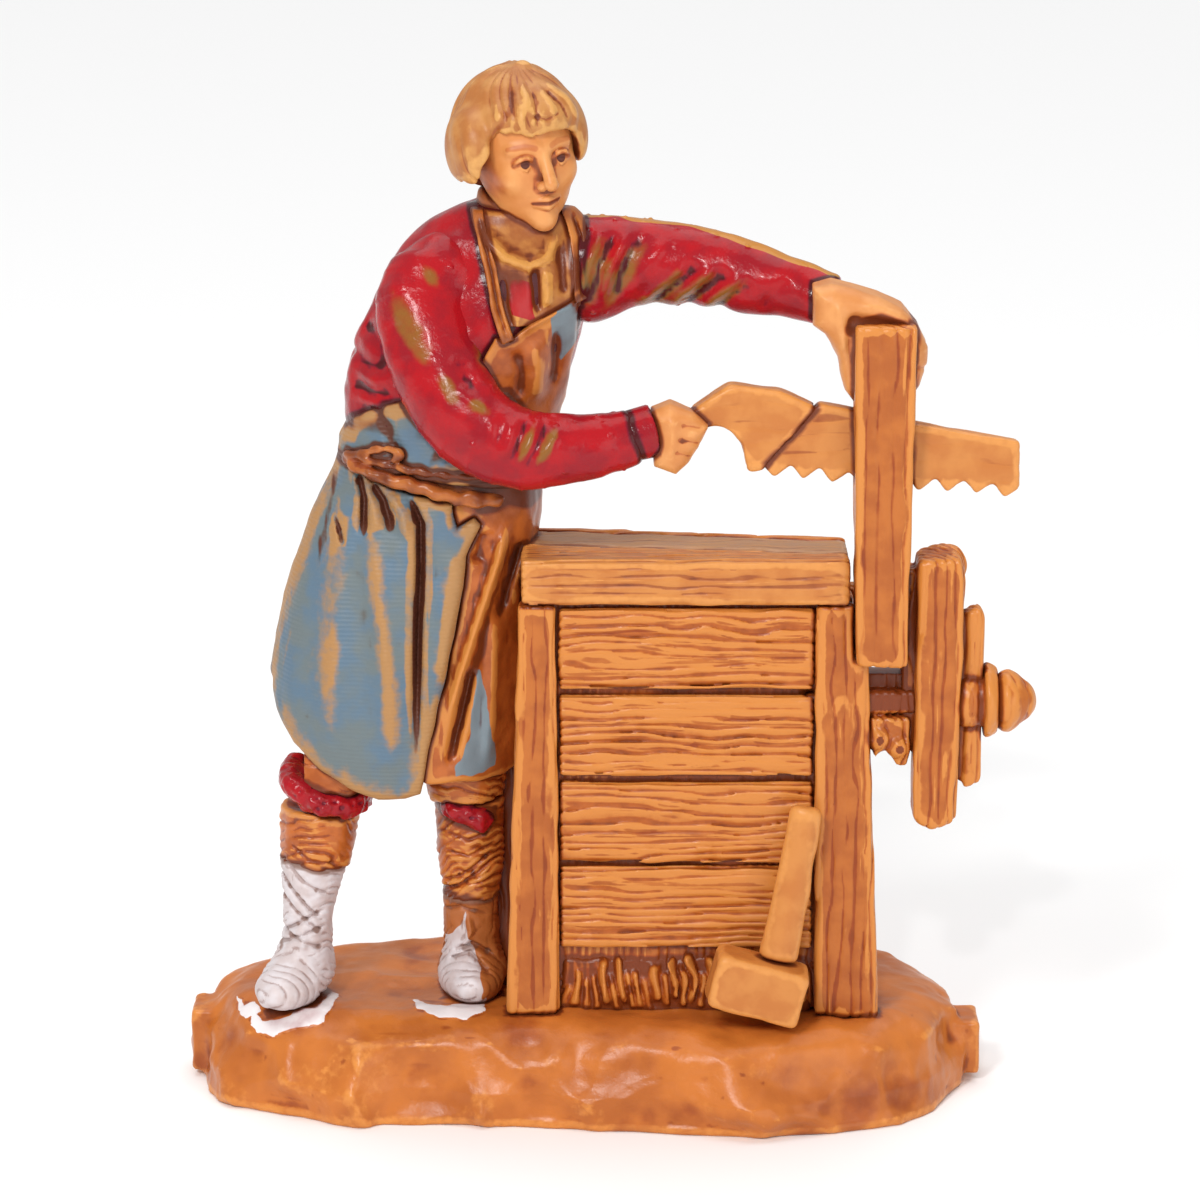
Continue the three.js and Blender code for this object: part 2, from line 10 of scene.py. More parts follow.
import bpy
import numpy as np
import openvdb
from mathutils import Euler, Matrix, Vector


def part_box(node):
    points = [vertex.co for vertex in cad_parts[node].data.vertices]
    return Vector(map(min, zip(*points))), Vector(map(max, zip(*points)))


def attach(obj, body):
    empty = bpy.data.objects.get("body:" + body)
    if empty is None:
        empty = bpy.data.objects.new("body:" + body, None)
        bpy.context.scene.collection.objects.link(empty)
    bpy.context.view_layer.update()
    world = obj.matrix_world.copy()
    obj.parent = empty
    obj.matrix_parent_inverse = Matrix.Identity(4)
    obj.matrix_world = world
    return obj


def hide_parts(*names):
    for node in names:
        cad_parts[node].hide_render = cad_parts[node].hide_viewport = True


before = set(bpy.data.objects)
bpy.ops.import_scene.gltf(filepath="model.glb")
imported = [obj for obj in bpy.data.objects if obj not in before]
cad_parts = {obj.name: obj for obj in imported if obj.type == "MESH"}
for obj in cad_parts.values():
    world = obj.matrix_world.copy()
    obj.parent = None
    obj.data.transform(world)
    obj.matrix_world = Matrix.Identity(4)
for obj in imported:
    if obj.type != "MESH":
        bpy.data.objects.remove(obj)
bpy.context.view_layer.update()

MM = 0.001
FINE = 0.11  # voxel of carved wood and cloth, in mm
FINEST = 0.085  # voxel of the head and hands
COARSE = 0.17  # voxel of the foot


# ---- Numbers on points ---------------------------------------------------------------------------


def smoothstep(low, high, value):
    share = np.clip((value - low) / (high - low), 0, 1)
    return share * share * (3 - 2 * share)


def join(a, b, softness):
    """Both solids, with a soft fillet where they meet."""
    share = np.clip(0.5 + 0.5 * (b - a) / softness, 0, 1)
    return b + (a - b) * share - softness * share * (1 - share)


def keep(a, b, softness):
    """What both solids share, with softened edges."""
    return -join(-a, -b, softness)


def random_of(cell, seed):
    """A repeatable number from 0 to 1 for each whole-numbered cell."""
    x, y, z = (cell[:, i].astype(np.uint32) for i in range(3))
    mixed = x * np.uint32(73856093) ^ y * np.uint32(19349663) ^ z * np.uint32(83492791)
    mixed = (mixed ^ np.uint32(seed * 668265 + 374761)) * np.uint32(2246822519)
    mixed ^= mixed >> np.uint32(15)
    mixed *= np.uint32(3266489917)
    return (mixed >> np.uint32(8)).astype(np.float32) / 2**24


def noise(points, size, seed=0):
    """Smooth noise from -1 to 1 whose lumps are about `size` mm; size may differ per axis."""
    scaled = points / np.asarray(size, np.float32)
    corner = np.floor(scaled)
    part = scaled - corner
    part = part * part * (3 - 2 * part)
    corner = corner.astype(np.int32)
    total = np.zeros(len(points), np.float32)
    for step in np.ndindex(2, 2, 2):
        near = np.where(np.array(step, bool), part, 1 - part).prod(1)
        total += near * random_of(corner + np.array(step, np.int32), seed)
    return 2 * total - 1


def lines(points, size, seed, sharp):
    """Thin winding lines, 1 at their middle, where smooth noise passes through zero."""
    return smoothstep(sharp, 1, 1 - np.abs(noise(points, size, seed)))


def chips(points, size, seed):
    """Scalloped facets: first 0 at the middle of each dish and about 0.5 on the ridges between them,
    then 1 on a thin line along each ridge and 0 elsewhere."""
    scaled = points / size
    cell = np.floor(scaled).astype(np.int32)
    nearest = np.full(len(points), 9.0, np.float32)
    second = nearest.copy()
    for step in np.ndindex(3, 3, 3):
        other = cell + np.array(step, np.int32) - 1
        seat = [random_of(other, seed + axis) for axis in range(3)]
        gap = other + np.stack(seat, 1) - scaled
        gap = (gap * gap).sum(1)
        second = np.minimum(second, np.maximum(gap, nearest))
        nearest = np.minimum(nearest, gap)
    ridge = smoothstep(0.13, 0.0, np.sqrt(second) - np.sqrt(nearest))
    return np.clip(nearest, 0, 1), ridge


# ---- Distance fields -----------------------------------------------------------------------------


def curve(stations, steps):
    """A smooth line through the stations, with all their numbers blended alike."""
    given = np.array(stations, float)
    padded = np.vstack([2 * given[0] - given[1], given, 2 * given[-1] - given[-2]])
    place = np.linspace(0, len(given) - 1, steps)
    first = np.minimum(place.astype(int), len(given) - 2)
    t = (place - first)[:, None]
    a, b, c, d = (padded[first + i] for i in range(4))
    rise = (c - a) * t + (2 * a - 5 * b + 4 * c - d) * t**2 + (3 * b - a - 3 * c + d) * t**3
    return b + 0.5 * rise


def from_path(u, v, path):
    """The distance from each (u, v) to a line of points, and how far along the line that is, 0 to 1."""
    path = np.array(path, np.float32)
    nearest = np.full(len(u), 1e9, np.float32)
    along = np.zeros(len(u), np.float32)
    for i in range(len(path) - 1):
        (au, av), (bu, bv) = path[i], path[i + 1]
        du, dv = bu - au, bv - av
        share = np.clip(((u - au) * du + (v - av) * dv) / (du * du + dv * dv), 0, 1)
        gap = (u - au - share * du) ** 2 + (v - av - share * dv) ** 2
        closer = gap < nearest
        nearest = np.where(closer, gap, nearest)
        along = np.where(closer, (i + share) / (len(path) - 1), along)
    return np.sqrt(nearest), along


def outline_distance(u, v, outline):
    """Signed distance to a closed outline in the plane, negative inside."""
    outline = [tuple(map(float, p)) for p in outline]
    gap, _ = from_path(u, v, outline + outline[:1])
    inside = np.zeros(len(u), bool)
    for (au, av), (bu, bv) in zip(outline, outline[1:] + outline[:1]):
        if av == bv:
            continue
        crosses = ((av > v) != (bv > v)) & (u < (bu - au) * (v - av) / (bv - av) + au)
        inside ^= crosses
    return np.where(inside, -gap, gap)


def layer(flat, height, radius):
    """A solid from its distance in the plane and its distance past its two faces, edges rounded."""
    a, b = flat + radius, height + radius
    outside = np.hypot(np.maximum(a, 0), np.maximum(b, 0))
    return outside + np.minimum(np.maximum(a, b), 0) - radius


STROKE_FADE = 0.25  # the share of a stroke over which each of its ends rises


def stroke(points, path, width, height):
    """A ridge, or with a negative height a crease, along a path of (x, z) points."""
    gap, along = from_path(points[:, 0], points[:, 2], path)
    ends = smoothstep(0, STROKE_FADE, along + 0.02) * smoothstep(0, STROKE_FADE, 1.02 - along)
    return height * ends * np.exp(-((gap / width) ** 2))


def strokes(points, listed, front=1.0):
    """Several strokes together, only on the side that faces the viewer."""
    total = np.zeros(len(points), np.float32)
    for path, width, height in listed:
        total += stroke(points, path, width, height)
    return total * smoothstep(front + 1.0, front - 1.0, points[:, 1])


def ball(points, centre, radius):
    return np.linalg.norm(points - np.array(centre, np.float32), axis=1) - radius


def egg(points, centre, radii):
    """An ellipsoid, whose distance is close to true near its surface."""
    gap = points - np.array(centre, np.float32)
    radii = np.array(radii, np.float32)
    scaled = np.linalg.norm(gap / radii, axis=1)
    slope = np.linalg.norm(gap / radii**2, axis=1)
    return scaled * (scaled - 1) / np.maximum(slope, 1e-6)


def rod(points, a, b, radius_a, radius_b):
    """A round rod with round ends, of one radius at a and another at b."""
    a, b = np.array(a, np.float32), np.array(b, np.float32)
    way = b - a
    share = np.clip((points - a) @ way / (way @ way), 0, 1)
    gap = np.linalg.norm(points - a - share[:, None] * way, axis=1)
    return gap - (radius_a + share * (radius_b - radius_a))


def chain(points, joints, softness=0.2):
    """Rods from joint to joint, each joint being [x, y, z, radius]: a finger or a cord."""
    distance = None
    for start, end in zip(joints, joints[1:]):
        part = rod(points, start[:3], end[:3], start[3], end[3])
        distance = part if distance is None else join(distance, part, softness)
    return distance


class Column:
    """An upright garment or trunk: an oval section at each height. Stations are
    [x, y, z, half width, half depth], lowest first."""

    def __init__(self, stations):
        self.rows = curve(stations, 48)

    def at(self, points):
        heights = self.rows[:, 2]
        middle_x, middle_y, width, depth = (
            np.interp(points[:, 2], heights, self.rows[:, i]) for i in (0, 1, 3, 4)
        )
        u, v = points[:, 0] - middle_x, points[:, 1] - middle_y
        return u, v, width, depth

    def distance(self, points, grow=0.0, caps=True):
        u, v, width, depth = self.at(points)
        width, depth = width + grow, depth + grow
        scaled = np.hypot(u / width, v / depth)
        slope = np.hypot(u / width**2, v / depth**2)
        side = scaled * (scaled - 1) / np.maximum(slope, 1e-3)
        if not caps:
            return side
        past = np.maximum(self.rows[0, 2] - points[:, 2], points[:, 2] - self.rows[-1, 2])
        return layer(side, past, 0.4)

    def angle(self, points):
        """The turn round the column in radians: 0 in front, positive towards +X."""
        u, v, width, depth = self.at(points)
        return np.arctan2(u / width, -v / depth)


class Limb:
    """A sleeve or leg: an oval section swept along a smooth line. Stations are
    [x, y, z, half width, half depth], with the depth kept near Y."""

    def __init__(self, stations):
        rows = curve(stations, 18)
        self.line, self.size = rows[:, :3].astype(np.float32), rows[:, 3:5].astype(np.float32)

    def locate(self, points):
        """The share along the limb, and the offsets across and in depth, of each point."""
        nearest = np.full(len(points), 1e9, np.float32)
        along = np.zeros(len(points), np.float32)
        across = np.zeros(len(points), np.float32)
        deep = np.zeros(len(points), np.float32)
        past = np.zeros(len(points), np.float32)
        last = len(self.line) - 2
        for i in range(last + 1):
            start, end = self.line[i], self.line[i + 1]
            length = np.linalg.norm(end - start)
            way = (end - start) / length
            depth_way = np.array([0, 1, 0], np.float32) - way * way[1]
            depth_way /= np.linalg.norm(depth_way)
            width_way = np.cross(way, depth_way)
            gap = points - start
            run = gap @ way
            held = np.clip(run, 0, length)
            spread = ((gap - held[:, None] * way) ** 2).sum(1)
            closer = spread < nearest
            nearest = np.where(closer, spread, nearest)
            along = np.where(closer, (i + held / length) / (last + 1), along)
            across = np.where(closer, gap @ width_way, across)
            deep = np.where(closer, gap @ depth_way, deep)
            over = np.maximum(-run if i == 0 else -9.0, run - length if i == last else -9.0)
            past = np.where(closer, over, past)
        return along, across, deep, past

    def distance(self, points, grow=0.0, cap=0.4):
        along, across, deep, past = self.locate(points)
        shares = np.linspace(0, 1, len(self.size))
        width = np.interp(along, shares, self.size[:, 0]) + grow
        depth = np.interp(along, shares, self.size[:, 1]) + grow
        scaled = np.hypot(across / width, deep / depth)
        slope = np.hypot(across / width**2, deep / depth**2)
        side = scaled * (scaled - 1) / np.maximum(slope, 1e-3)
        return layer(side, past, cap)


def sample(grid, place):
    """The value of a grid at places given in its own steps, blended between its points."""
    place = np.clip(place, 0, np.array(grid.shape) - 1.001)
    corner = place.astype(np.int32)
    part = (place - corner).astype(np.float32)
    total = np.zeros(len(place), np.float32)
    for step in np.ndindex(2, 2, 2):
        share = np.where(np.array(step, bool), part, 1 - part).prod(1)
        x, y, z = (corner + np.array(step)).T
        total += share * grid[x, y, z]
    return total


def box_mean(grid, reach):
    """Each value's mean with its neighbours up to `reach` steps away along every axis."""
    for axis in range(3):
        edges = [(reach, reach) if i == axis else (0, 0) for i in range(3)]
        padded = np.pad(grid, edges, "edge")
        total = np.zeros_like(grid)
        for step in range(2 * reach + 1):
            window = [slice(None)] * 3
            window[axis] = slice(step, step + grid.shape[axis])
            total += padded[tuple(window)]
        grid = total / (2 * reach + 1)
    return grid


def cad(name, soften):
    """The distance field of a CAD node, its edges softened over `soften` steps of its grid."""
    voxel = 0.12
    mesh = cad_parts[name].data
    corners = np.empty(len(mesh.vertices) * 3, np.float32)
    mesh.vertices.foreach_get("co", corners)
    mesh.calc_loop_triangles()
    triangles = np.empty(len(mesh.loop_triangles) * 3, np.int32)
    mesh.loop_triangles.foreach_get("vertices", triangles)
    points, index = np.unique(np.round(corners.reshape(-1, 3) / MM, 4), axis=0, return_inverse=True)
    origin = points.min(0) - 2.0
    level = openvdb.FloatGrid.createLevelSetFromPolygons(
        (points - origin).astype(np.float32),
        triangles=index.reshape(-1)[triangles].reshape(-1, 3).astype(np.uint32),
        transform=openvdb.createLinearTransform(voxelSize=voxel),
        halfWidth=12.0,
    )
    shape = np.ceil((points.max(0) - origin + 2.0) / voxel).astype(int)
    grid = np.zeros(tuple(shape), np.float32)
    level.copyToArray(grid)
    if soften:
        grid = box_mean(grid, soften)
    return lambda given: sample(grid, (given - origin) / voxel)


# ---- Pieces --------------------------------------------------------------------------------------

BLOCK = 4  # steps of the fine grid in one step of the rough grid
FINE_REACH = 0.24  # how far round a point its fine hollowness looks, in mm
EDGE_ROOM = 0.35  # how far carving may move a surface, in mm
pieces = {}


def hollowness(grid, reach, step):
    """How concave the field is at each point, in 1/mm: positive in a hollow, negative on a crest."""
    half = (reach + 0.5) * step
    return -6 * (box_mean(grid, reach) - grid) / half**2


def mesh_field(shape, low, high, voxel):
    """The points and four-sided faces of a field's zero surface, with each point's hollowness at a
    fine and at a coarse scale. Only the blocks that the surface may cross are worked out in full."""
    size = BLOCK * voxel
    low = np.array(low, np.float32) - size
    count = np.ceil((np.array(high) + size - low) / size).astype(int)
    index = np.stack(np.meshgrid(*map(np.arange, count), indexing="ij"), -1).reshape(-1, 3)
    middle = (BLOCK - 1) / 2
    rough = shape((low + (index * BLOCK + middle) * voxel).astype(np.float32)).astype(np.float32)
    near = np.abs(rough) < size + EDGE_ROOM
    offsets = np.stack(np.meshgrid(*[np.arange(BLOCK)] * 3, indexing="ij"), -1).reshape(-1, 3)
    fine = (index[near][:, None] * BLOCK + offsets[None]).reshape(-1, 3)
    blocks = np.repeat(rough[:, None], BLOCK**3, 1)
    blocks[near] = shape((low + fine * voxel).astype(np.float32)).reshape(-1, BLOCK**3)
    blocks = blocks.reshape(*count, BLOCK, BLOCK, BLOCK)
    field = blocks.transpose(0, 3, 1, 4, 2, 5).reshape(*(count * BLOCK))
    grid = openvdb.FloatGrid(1.0)
    grid.copyFromArray(np.ascontiguousarray(field))
    points, quads = grid.convertToQuads(isovalue=0.0)
    small = sample(hollowness(field, max(1, round(FINE_REACH / voxel)), voxel), points)
    rough = rough.reshape(tuple(count))
    large = sample(hollowness(rough, 1, size), (points - middle) / BLOCK)
    return (low + points * voxel).astype(np.float32), quads.astype(np.int32), small, large


def largest_part(points, quads):
    """The numbers of the faces of the largest connected part."""
    label = np.arange(len(points))
    while True:
        lowest = label[quads].min(1)
        new = label.copy()
        np.minimum.at(new, quads.ravel(), np.repeat(lowest, 4))
        new = new[new]
        if (new == label).all():
            break
        label = new
    names, tally = np.unique(label[quads[:, 0]], return_counts=True)
    return label[quads[:, 0]] == names[tally.argmax()]


def sculpt(name, shape, paint, voxel=FINE, reach=1.2, marks=None):
    """Meshes a field up to `reach` mm round the box of the CAD node it stands for, and paints it. The
    marks say, for each layer of paint, where a function of the points adds to it."""
    corners = [np.array(corner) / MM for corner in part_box(name)]
    low, high = np.min(corners, 0) - reach, np.max(corners, 0) + reach
    points, quads, small, large = mesh_field(shape, low, high, voxel)
    quads = quads[largest_part(points, quads)]
    used, quads = np.unique(quads, return_inverse=True)
    quads = quads.reshape(-1, 4).astype(np.int32)
    points, small, large = points[used], small[used], large[used]
    mesh = bpy.data.meshes.new(name)
    mesh.vertices.add(len(points))
    mesh.vertices.foreach_set("co", (points * MM).ravel())
    mesh.loops.add(quads.size)
    mesh.loops.foreach_set("vertex_index", quads.ravel())
    mesh.polygons.add(len(quads))
    mesh.polygons.foreach_set("loop_start", np.arange(0, quads.size, 4, dtype=np.int32))
    mesh.update(calc_edges=True)
    mesh.shade_smooth()
    piece = bpy.data.objects.new(f"{name}_shown", mesh)
    bpy.context.scene.collection.objects.link(piece)
    piece.data.materials.append(PAINTS[paint])
    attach(piece, "root")
    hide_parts(name)
    pieces[name] = {
        "mesh": mesh, "shape": shape, "low": low, "high": high, "points": points,
        "small": small, "large": large, "marks": marks or {},
    }


CONTACT = 0.5  # wash gathers this near to a neighbour, in mm
# Pieces moulded as one: no wash gathers where they meet.
SEAMLESS = [{"sleeve_right", "tunic_torso"}, {"sleeve_left", "tunic_torso"}, {"head", "hair"}]


def stain_pieces():
    """Writes on each mesh where the wash gathers and where shade is painted, where paint is worn off, and any
    second paint.
    """
    for name, piece in pieces.items():
        points = piece["points"]
        nearest = np.full(len(points), CONTACT, np.float32)
        for other_name, other in pieces.items():
            if other_name == name or {name, other_name} in SEAMLESS:
                continue
            inside = ((points > other["low"]) & (points < other["high"])).all(1)
            if inside.any():
                nearest[inside] = np.minimum(nearest[inside], np.abs(other["shape"](points[inside])))
        contact = smoothstep(CONTACT, 0.05, nearest)
        small, large = piece["small"], piece["large"]
        hollow = np.maximum(0.58 * smoothstep(0.25, 2.6, small), 0.85 * smoothstep(0.15, 1.3, large))
        crest = np.maximum(smoothstep(1.2, 4.0, -small), smoothstep(0.5, 1.4, -large))
        layers = {"wash": np.maximum(hollow, contact), "crest": crest}
        for layer_name, mark in piece["marks"].items():
            value = mark(points)
            layers[layer_name] = np.maximum(layers[layer_name], value) if layer_name in layers else value
        for layer_name in ("wash", "crest", "worn", "tint"):
            value = layers.get(layer_name, np.zeros(len(points)))
            attribute = piece["mesh"].attributes.new(layer_name, "FLOAT", "POINT")
            attribute.data.foreach_set("value", np.clip(value, 0, 1).astype(np.float32))


# ---- Paints --------------------------------------------------------------------------------------

OCHRE = (0.62, 0.27, 0.085)  # the plastic itself
WASH_AND_SHADE = (0.15, 0.03, 0.008)  # the red-brown wash, thick, also used as the colour of painted deep shade
PAINTS = {}


class Nodes:
    """Short ways to add shader nodes to one material."""

    def __init__(self, name):
        self.material = bpy.data.materials.new(name)
        self.material.use_nodes = True
        self.tree = self.material.node_tree
        self.shader = self.tree.nodes["Principled BSDF"]

    def add(self, kind, inputs=None, **settings):
        node = self.tree.nodes.new(f"ShaderNode{kind}")
        for key, value in settings.items():
            setattr(node, key, value)
        for key, value in (inputs or {}).items():
            self.put(node.inputs[key], value)
        return node

    def put(self, socket, value):
        if isinstance(value, bpy.types.NodeSocket):
            self.tree.links.new(value, socket)
        else:
            socket.default_value = value

    def layer(self, name):
        return self.add("Attribute", attribute_name=name).outputs["Fac"]

    def speckle(self, size, detail=2.0, roughness=0.5):
        """Noise from 0 to 1 whose lumps are about `size` mm."""
        place = self.add("TexCoord").outputs["Object"]
        mapped = self.add("Mapping", {"Vector": place, "Scale": [1 / (size * MM)] * 3})
        inputs = {"Vector": mapped.outputs["Vector"], "Scale": 1.0, "Detail": detail, "Roughness": roughness}
        return self.add("TexNoise", inputs).outputs["Fac"]

    def ramp(self, value, low, high):
        """A share that rises smoothly from 0 at `low` to 1 at `high`."""
        inputs = {"Value": value, "From Min": low, "From Max": high}
        return self.add("MapRange", inputs, interpolation_type="SMOOTHSTEP").outputs["Result"]

    def math(self, operation, a, b):
        return self.add("Math", {0: a, 1: b}, operation=operation).outputs["Value"]

    def mix(self, share, a, b, blend="MIX"):
        node = self.add("Mix", data_type="RGBA", blend_type=blend)
        for socket, value in ((node.inputs[0], share), (node.inputs[6], a), (node.inputs[7], b)):
            if isinstance(value, tuple):
                value = (*value, 1.0)
            self.put(socket, value)
        return node.outputs[2]


def make_paint(name, colour, shade, roughness, worn_to=OCHRE, wash=WASH_AND_SHADE, washed=0.9, crest=0.3,
               tint=(0.6, 0.6, 0.6), patch=2.2, gloss=0.5, coat=0.0, bump=0.25, rub_to=0.8, weave=None,
               glaze=(0.66, 0.5, 0.5)):
    """Paint on plastic: two shades that drift into each other, rubbed through to `worn_to` where the
    mesh says so and on the crests, a second paint where `tint` is set, and wash in the hollows: a thin
    wash tints what is under it like a glaze, a thick one hides it. Painted shade, where the mesh marks
    it, is coloured the same way as the wash."""
    n = Nodes(name)
    drift = n.ramp(n.speckle(patch, 3.0), 0.35, 0.65)
    base = n.mix(drift, colour, shade)
    rub = n.math("MULTIPLY", n.layer("crest"), crest)
    rub = n.math("ADD", rub, n.layer("worn"))
    rub = n.ramp(n.math("ADD", rub, n.math("MULTIPLY", n.speckle(0.55, 3.0), 0.5)), 0.48, rub_to)
    base = n.mix(rub, base, worn_to)
    second = n.math("ADD", n.layer("tint"), n.math("MULTIPLY", n.speckle(0.4, 2.0), 0.3))
    base = n.mix(n.ramp(second, 0.55, 0.75), base, tint)
    pooled = n.math("ADD", n.layer("wash"), n.math("MULTIPLY", n.speckle(1.1, 4.0), 0.5))
    pooled = n.math("MULTIPLY", n.ramp(pooled, 0.3, 1.25), washed)
    base = n.mix(n.ramp(pooled, 0.0, 0.5), base, glaze, "MULTIPLY")
    base = n.mix(n.ramp(pooled, 0.4, 0.85), base, wash)
    n.put(n.shader.inputs["Base Color"], base)
    n.shader.inputs["Roughness"].default_value = roughness
    n.shader.inputs["Specular IOR Level"].default_value = gloss
    n.shader.inputs["Coat Weight"].default_value = coat
    n.shader.inputs["Coat Roughness"].default_value = 0.12
    relief = n.speckle(0.35, 3.0, 0.6)
    if weave:
        relief = n.math("ADD", relief, weave(n))
    lifted = n.add("Bump", {"Height": relief, "Strength": bump, "Distance": 0.06 * MM})
    n.put(n.shader.inputs["Normal"], lifted.outputs["Normal"])
    PAINTS[name] = n.material


RIB = 0.3 * MM


def ribs(n):
    """The fine ribs of the apron's cloth, one above the other."""
    place = n.add("TexCoord").outputs["Object"]
    inputs = {"Vector": place, "Scale": 6.283 / (20 * RIB), "Distortion": 0.6, "Detail Scale": 4.0}
    wave = n.add("TexWave", inputs, wave_type="BANDS", bands_direction="Z")
    return n.math("MULTIPLY", wave.outputs["Fac"], 0.7)


make_paint("rock_paint", (0.56, 0.165, 0.026), (0.43, 0.115, 0.018), 0.32, worn_to=(0.68, 0.25, 0.05),
           crest=0.45, washed=0.8, patch=4.0, gloss=0.35, tint=(0.78, 0.72, 0.72), bump=0.4)
make_paint("timber_paint", (0.47, 0.134, 0.021), (0.38, 0.095, 0.014), 0.32, worn_to=(0.6, 0.215, 0.042),
           crest=0.8, washed=0.9, wash=(0.19, 0.036, 0.006), patch=2.0, gloss=0.32, bump=0.35,
           glaze=(0.7, 0.46, 0.3))
make_paint("top_paint", (0.4, 0.205, 0.1), (0.45, 0.22, 0.085), 0.42, worn_to=(0.48, 0.28, 0.155),
           crest=0.4, washed=0.7, patch=3.0, gloss=0.4, bump=0.3)
make_paint("tool_paint", (0.57, 0.215, 0.048), (0.5, 0.165, 0.033), 0.36, worn_to=(0.66, 0.27, 0.065),
           crest=0.5, washed=0.85, patch=2.0, gloss=0.36, bump=0.25)
make_paint("skin_paint", (0.68, 0.29, 0.09), (0.6, 0.225, 0.062), 0.4, worn_to=(0.74, 0.36, 0.125),
           crest=0.3, washed=0.8, patch=2.0, tint=(0.1, 0.02, 0.01), gloss=0.36, bump=0.15,
           glaze=(0.74, 0.5, 0.42))
make_paint("hair_paint", (0.5, 0.22, 0.062), (0.4, 0.14, 0.032), 0.42, worn_to=(0.62, 0.31, 0.09),
           crest=0.5, washed=0.85, patch=1.4, gloss=0.36, bump=0.3, glaze=(0.68, 0.45, 0.42))
make_paint("red_paint", (0.39, 0.007, 0.012), (0.28, 0.008, 0.015), 0.2, worn_to=(0.25, 0.095, 0.018),
           crest=0.25, washed=0.9, wash=(0.07, 0.006, 0.008), patch=1.8, tint=(0.5, 0.2, 0.03),
           gloss=0.16, coat=0.14, bump=0.7, rub_to=1.2, glaze=(0.55, 0.8, 1.3))
make_paint("blue_paint", (0.105, 0.165, 0.225), (0.14, 0.17, 0.175), 0.45, worn_to=(0.4, 0.205, 0.075),
           crest=0.5, washed=0.95, wash=(0.1, 0.028, 0.014), patch=2.2, gloss=0.3, bump=0.45, rub_to=0.95,
           weave=ribs, glaze=(0.8, 0.6, 0.5))
make_paint("brown_paint", (0.5, 0.13, 0.022), (0.37, 0.085, 0.014), 0.3, worn_to=(0.6, 0.22, 0.045),
           crest=0.6, washed=0.9, patch=1.4, tint=(0.19, 0.24, 0.27), gloss=0.36, bump=0.4)
make_paint("shirt_paint", (0.46, 0.18, 0.042), (0.33, 0.1, 0.024), 0.32, worn_to=(0.6, 0.27, 0.06),
           crest=0.5, washed=0.95, patch=1.2, tint=(0.4, 0.01, 0.012), gloss=0.36, bump=0.35)
make_paint("white_paint", (0.58, 0.49, 0.48), (0.66, 0.6, 0.61), 0.48, worn_to=(0.5, 0.22, 0.08),
           crest=0.0, washed=0.7, wash=(0.2, 0.1, 0.065), patch=1.2, tint=(0.42, 0.125, 0.028), bump=0.4,
           glaze=(0.66, 0.56, 0.53))


# ---- Foot ----------------------------------------------------------------------------------------

GROUND_TOP = 6.8
FACET = 4.9  # the size of the rock's scalloped facets
ROCK_PLAN = [
    (-28.0, 0.5), (-26.4, -5.4), (-21.0, -9.2), (-12.0, -10.4), (-2.0, -11.6), (7.0, -13.0),
    (15.0, -12.7), (21.4, -9.6), (24.8, -3.5), (24.8, 3.0), (21.2, 9.4), (12.0, 12.5),
    (0.0, 13.2), (-12.0, 12.6), (-22.0, 9.6), (-26.8, 5.4),
]
ROCK_EDGE = curve(ROCK_PLAN + ROCK_PLAN[:1], 60)[:-1]
STUBS = {"left": ((-28.6, -1.2, 0.4), (-26.2, 2.6, 4.9)), "right": ((23.5, -2.4, 0.6), (26.6, 1.6, 4.4))}
# White paint that ran off the shoes, and the painted shade under their toes, as outlines seen from the
# front and a little above: (x, the height at which a point of the foot is seen).
SIGHT = 0.34  # how much higher a point is seen for each mm that it lies further back
SPILLS = [
    [(-25.2, 5.6), (-24.7, 4.9), (-23.9, 5.2), (-23.4, 4.5), (-24.4, 3.9), (-25.1, 4.5)],
    [(-23.9, 4.4), (-23.2, 3.8), (-22.2, 3.8), (-21.4, 4.2), (-20.9, 4.8), (-20.2, 4.7), (-19.5, 4.8),
     (-18.7, 5.9), (-18.2, 5.7), (-18.4, 4.7), (-19.0, 3.8), (-19.9, 3.4), (-21.4, 3.2), (-22.5, 2.7),
     (-23.7, 2.9), (-24.1, 3.5)],
    [(-12.9, 5.3), (-11.2, 4.9), (-8.0, 5.1), (-7.7, 4.6), (-9.1, 3.9), (-11.2, 4.2), (-12.5, 4.7)],
]
TOE_SHADE = [
    [(-23.3, 4.6), (-21.0, 5.6), (-19.2, 6.4), (-18.6, 6.0), (-19.6, 4.7), (-20.8, 4.7), (-21.6, 4.2),
     (-23.0, 3.9)],
    [(-11.0, 5.4), (-9.0, 5.2), (-6.6, 5.6), (-7.0, 6.2), (-10.6, 6.2)],
]


def block(points, low, high, radius):
    low, high = np.array(low), np.array(high)
    gap = np.abs(points - (low + high) / 2) - (high - low) / 2 + radius
    outside = np.linalg.norm(np.maximum(gap, 0), axis=1)
    return outside + np.minimum(gap.max(1), 0) - radius


def facets(points):
    bent = points * np.array([0.95, 1, 1.1], np.float32) + 0.7 * noise(points, 3.0, 12)[:, None]
    return chips(bent, FACET, 11)


